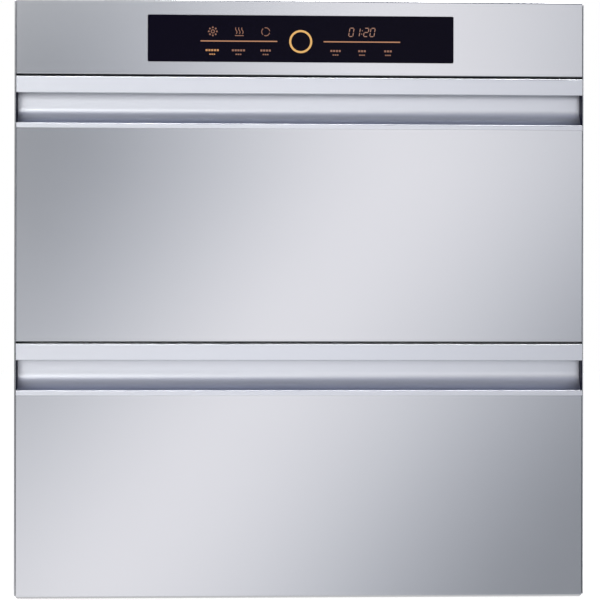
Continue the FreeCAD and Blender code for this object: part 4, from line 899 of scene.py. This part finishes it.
def lay_floor():
    material = bpy.data.materials.new("pale_floor")
    material.use_nodes = True
    tree = material.node_tree
    tree.nodes.clear()
    seen = add(tree, "LightPath").outputs["Is Camera Ray"]
    paint = add(tree, "BsdfDiffuse", Color=FLOOR_PAINT)
    lift = add(tree, "Emission", Color=tinted(*WHITE), Strength=FLOOR_LIFT)
    lifted = add(tree, "AddShader", paint, lift)
    add(tree, "OutputMaterial", Surface=add(tree, "MixShader", seen, paint, lifted))
    reach = (-FLOOR_HALF, FLOOR_HALF)
    floor = stage_plane("pale_floor", lying(reach, reach, (0, 0)), material)
    floor.visible_glossy = False


lay_floor()
print("floor", 2 * FLOOR_HALF, "m wide")

# %% [markdown]
# ### White room
# Round the cabinet is nothing but white. A bright world would do, but it would also light the
# object from all sides. Here the camera, reflections and clear tubes see white, while the light
# that falls on the cabinet from the room is weak and slightly cool.

# %% White room
ROOM_TINT = tinted(0.96, 0.98, 1.0)
ROOM_LIGHT = 0.35


def make_room():
    world = bpy.data.worlds.new("white_room")
    bpy.context.scene.world = world
    world.use_nodes = True
    tree = world.node_tree
    tree.nodes.clear()
    path = add(tree, "LightPath").outputs
    seen = add(tree, "Math", path["Is Camera Ray"], path["Is Glossy Ray"], operation="MAXIMUM")
    seen = add(tree, "Math", seen, path["Is Transmission Ray"], operation="MAXIMUM")
    soft = add(tree, "Background", Color=ROOM_TINT, Strength=ROOM_LIGHT)
    white = add(tree, "Background", Color=tinted(*WHITE), Strength=1.0)
    add(tree, "OutputWorld", Surface=add(tree, "MixShader", seen, soft, white))


make_room()
print("white room made")

# %% [markdown]
# ### Soft lamps
# Plastic, boards and wool don't mirror the cards, so they need light that falls on them. Small
# lamps would throw hard shadows. Two large soft ones, on the left and overhead, give an even
# light, and they are kept out of the reflections. Colours are shown as they are rendered.

# %% Soft lamps
def soft_lamp(name, place, aim_at, size, power):
    data = bpy.data.lights.new(name, "AREA")
    data.shape = "SQUARE"
    data.size = size
    data.energy = power
    lamp = bpy.data.objects.new(name, data)
    lamp.location = place
    lamp.rotation_euler = (Vector(aim_at) - Vector(place)).to_track_quat("-Z", "Y").to_euler()
    lamp.visible_glossy = False
    bpy.context.scene.collection.objects.link(lamp)


soft_lamp("left_lamp", place=(-0.9, -1.5, 0.5), aim_at=(0, -0.2, 0.33), size=0.7, power=16)
soft_lamp("top_lamp", place=(0.2, -0.6, 2.4), aim_at=(0, 0, 0.3), size=1.4, power=7)
bpy.context.scene.view_settings.view_transform = "Standard"
print("lamps on")

# %% [markdown]
# ## End
# The dressed cabinet has to be as large as its solids.

# %% Finish
print("finished")
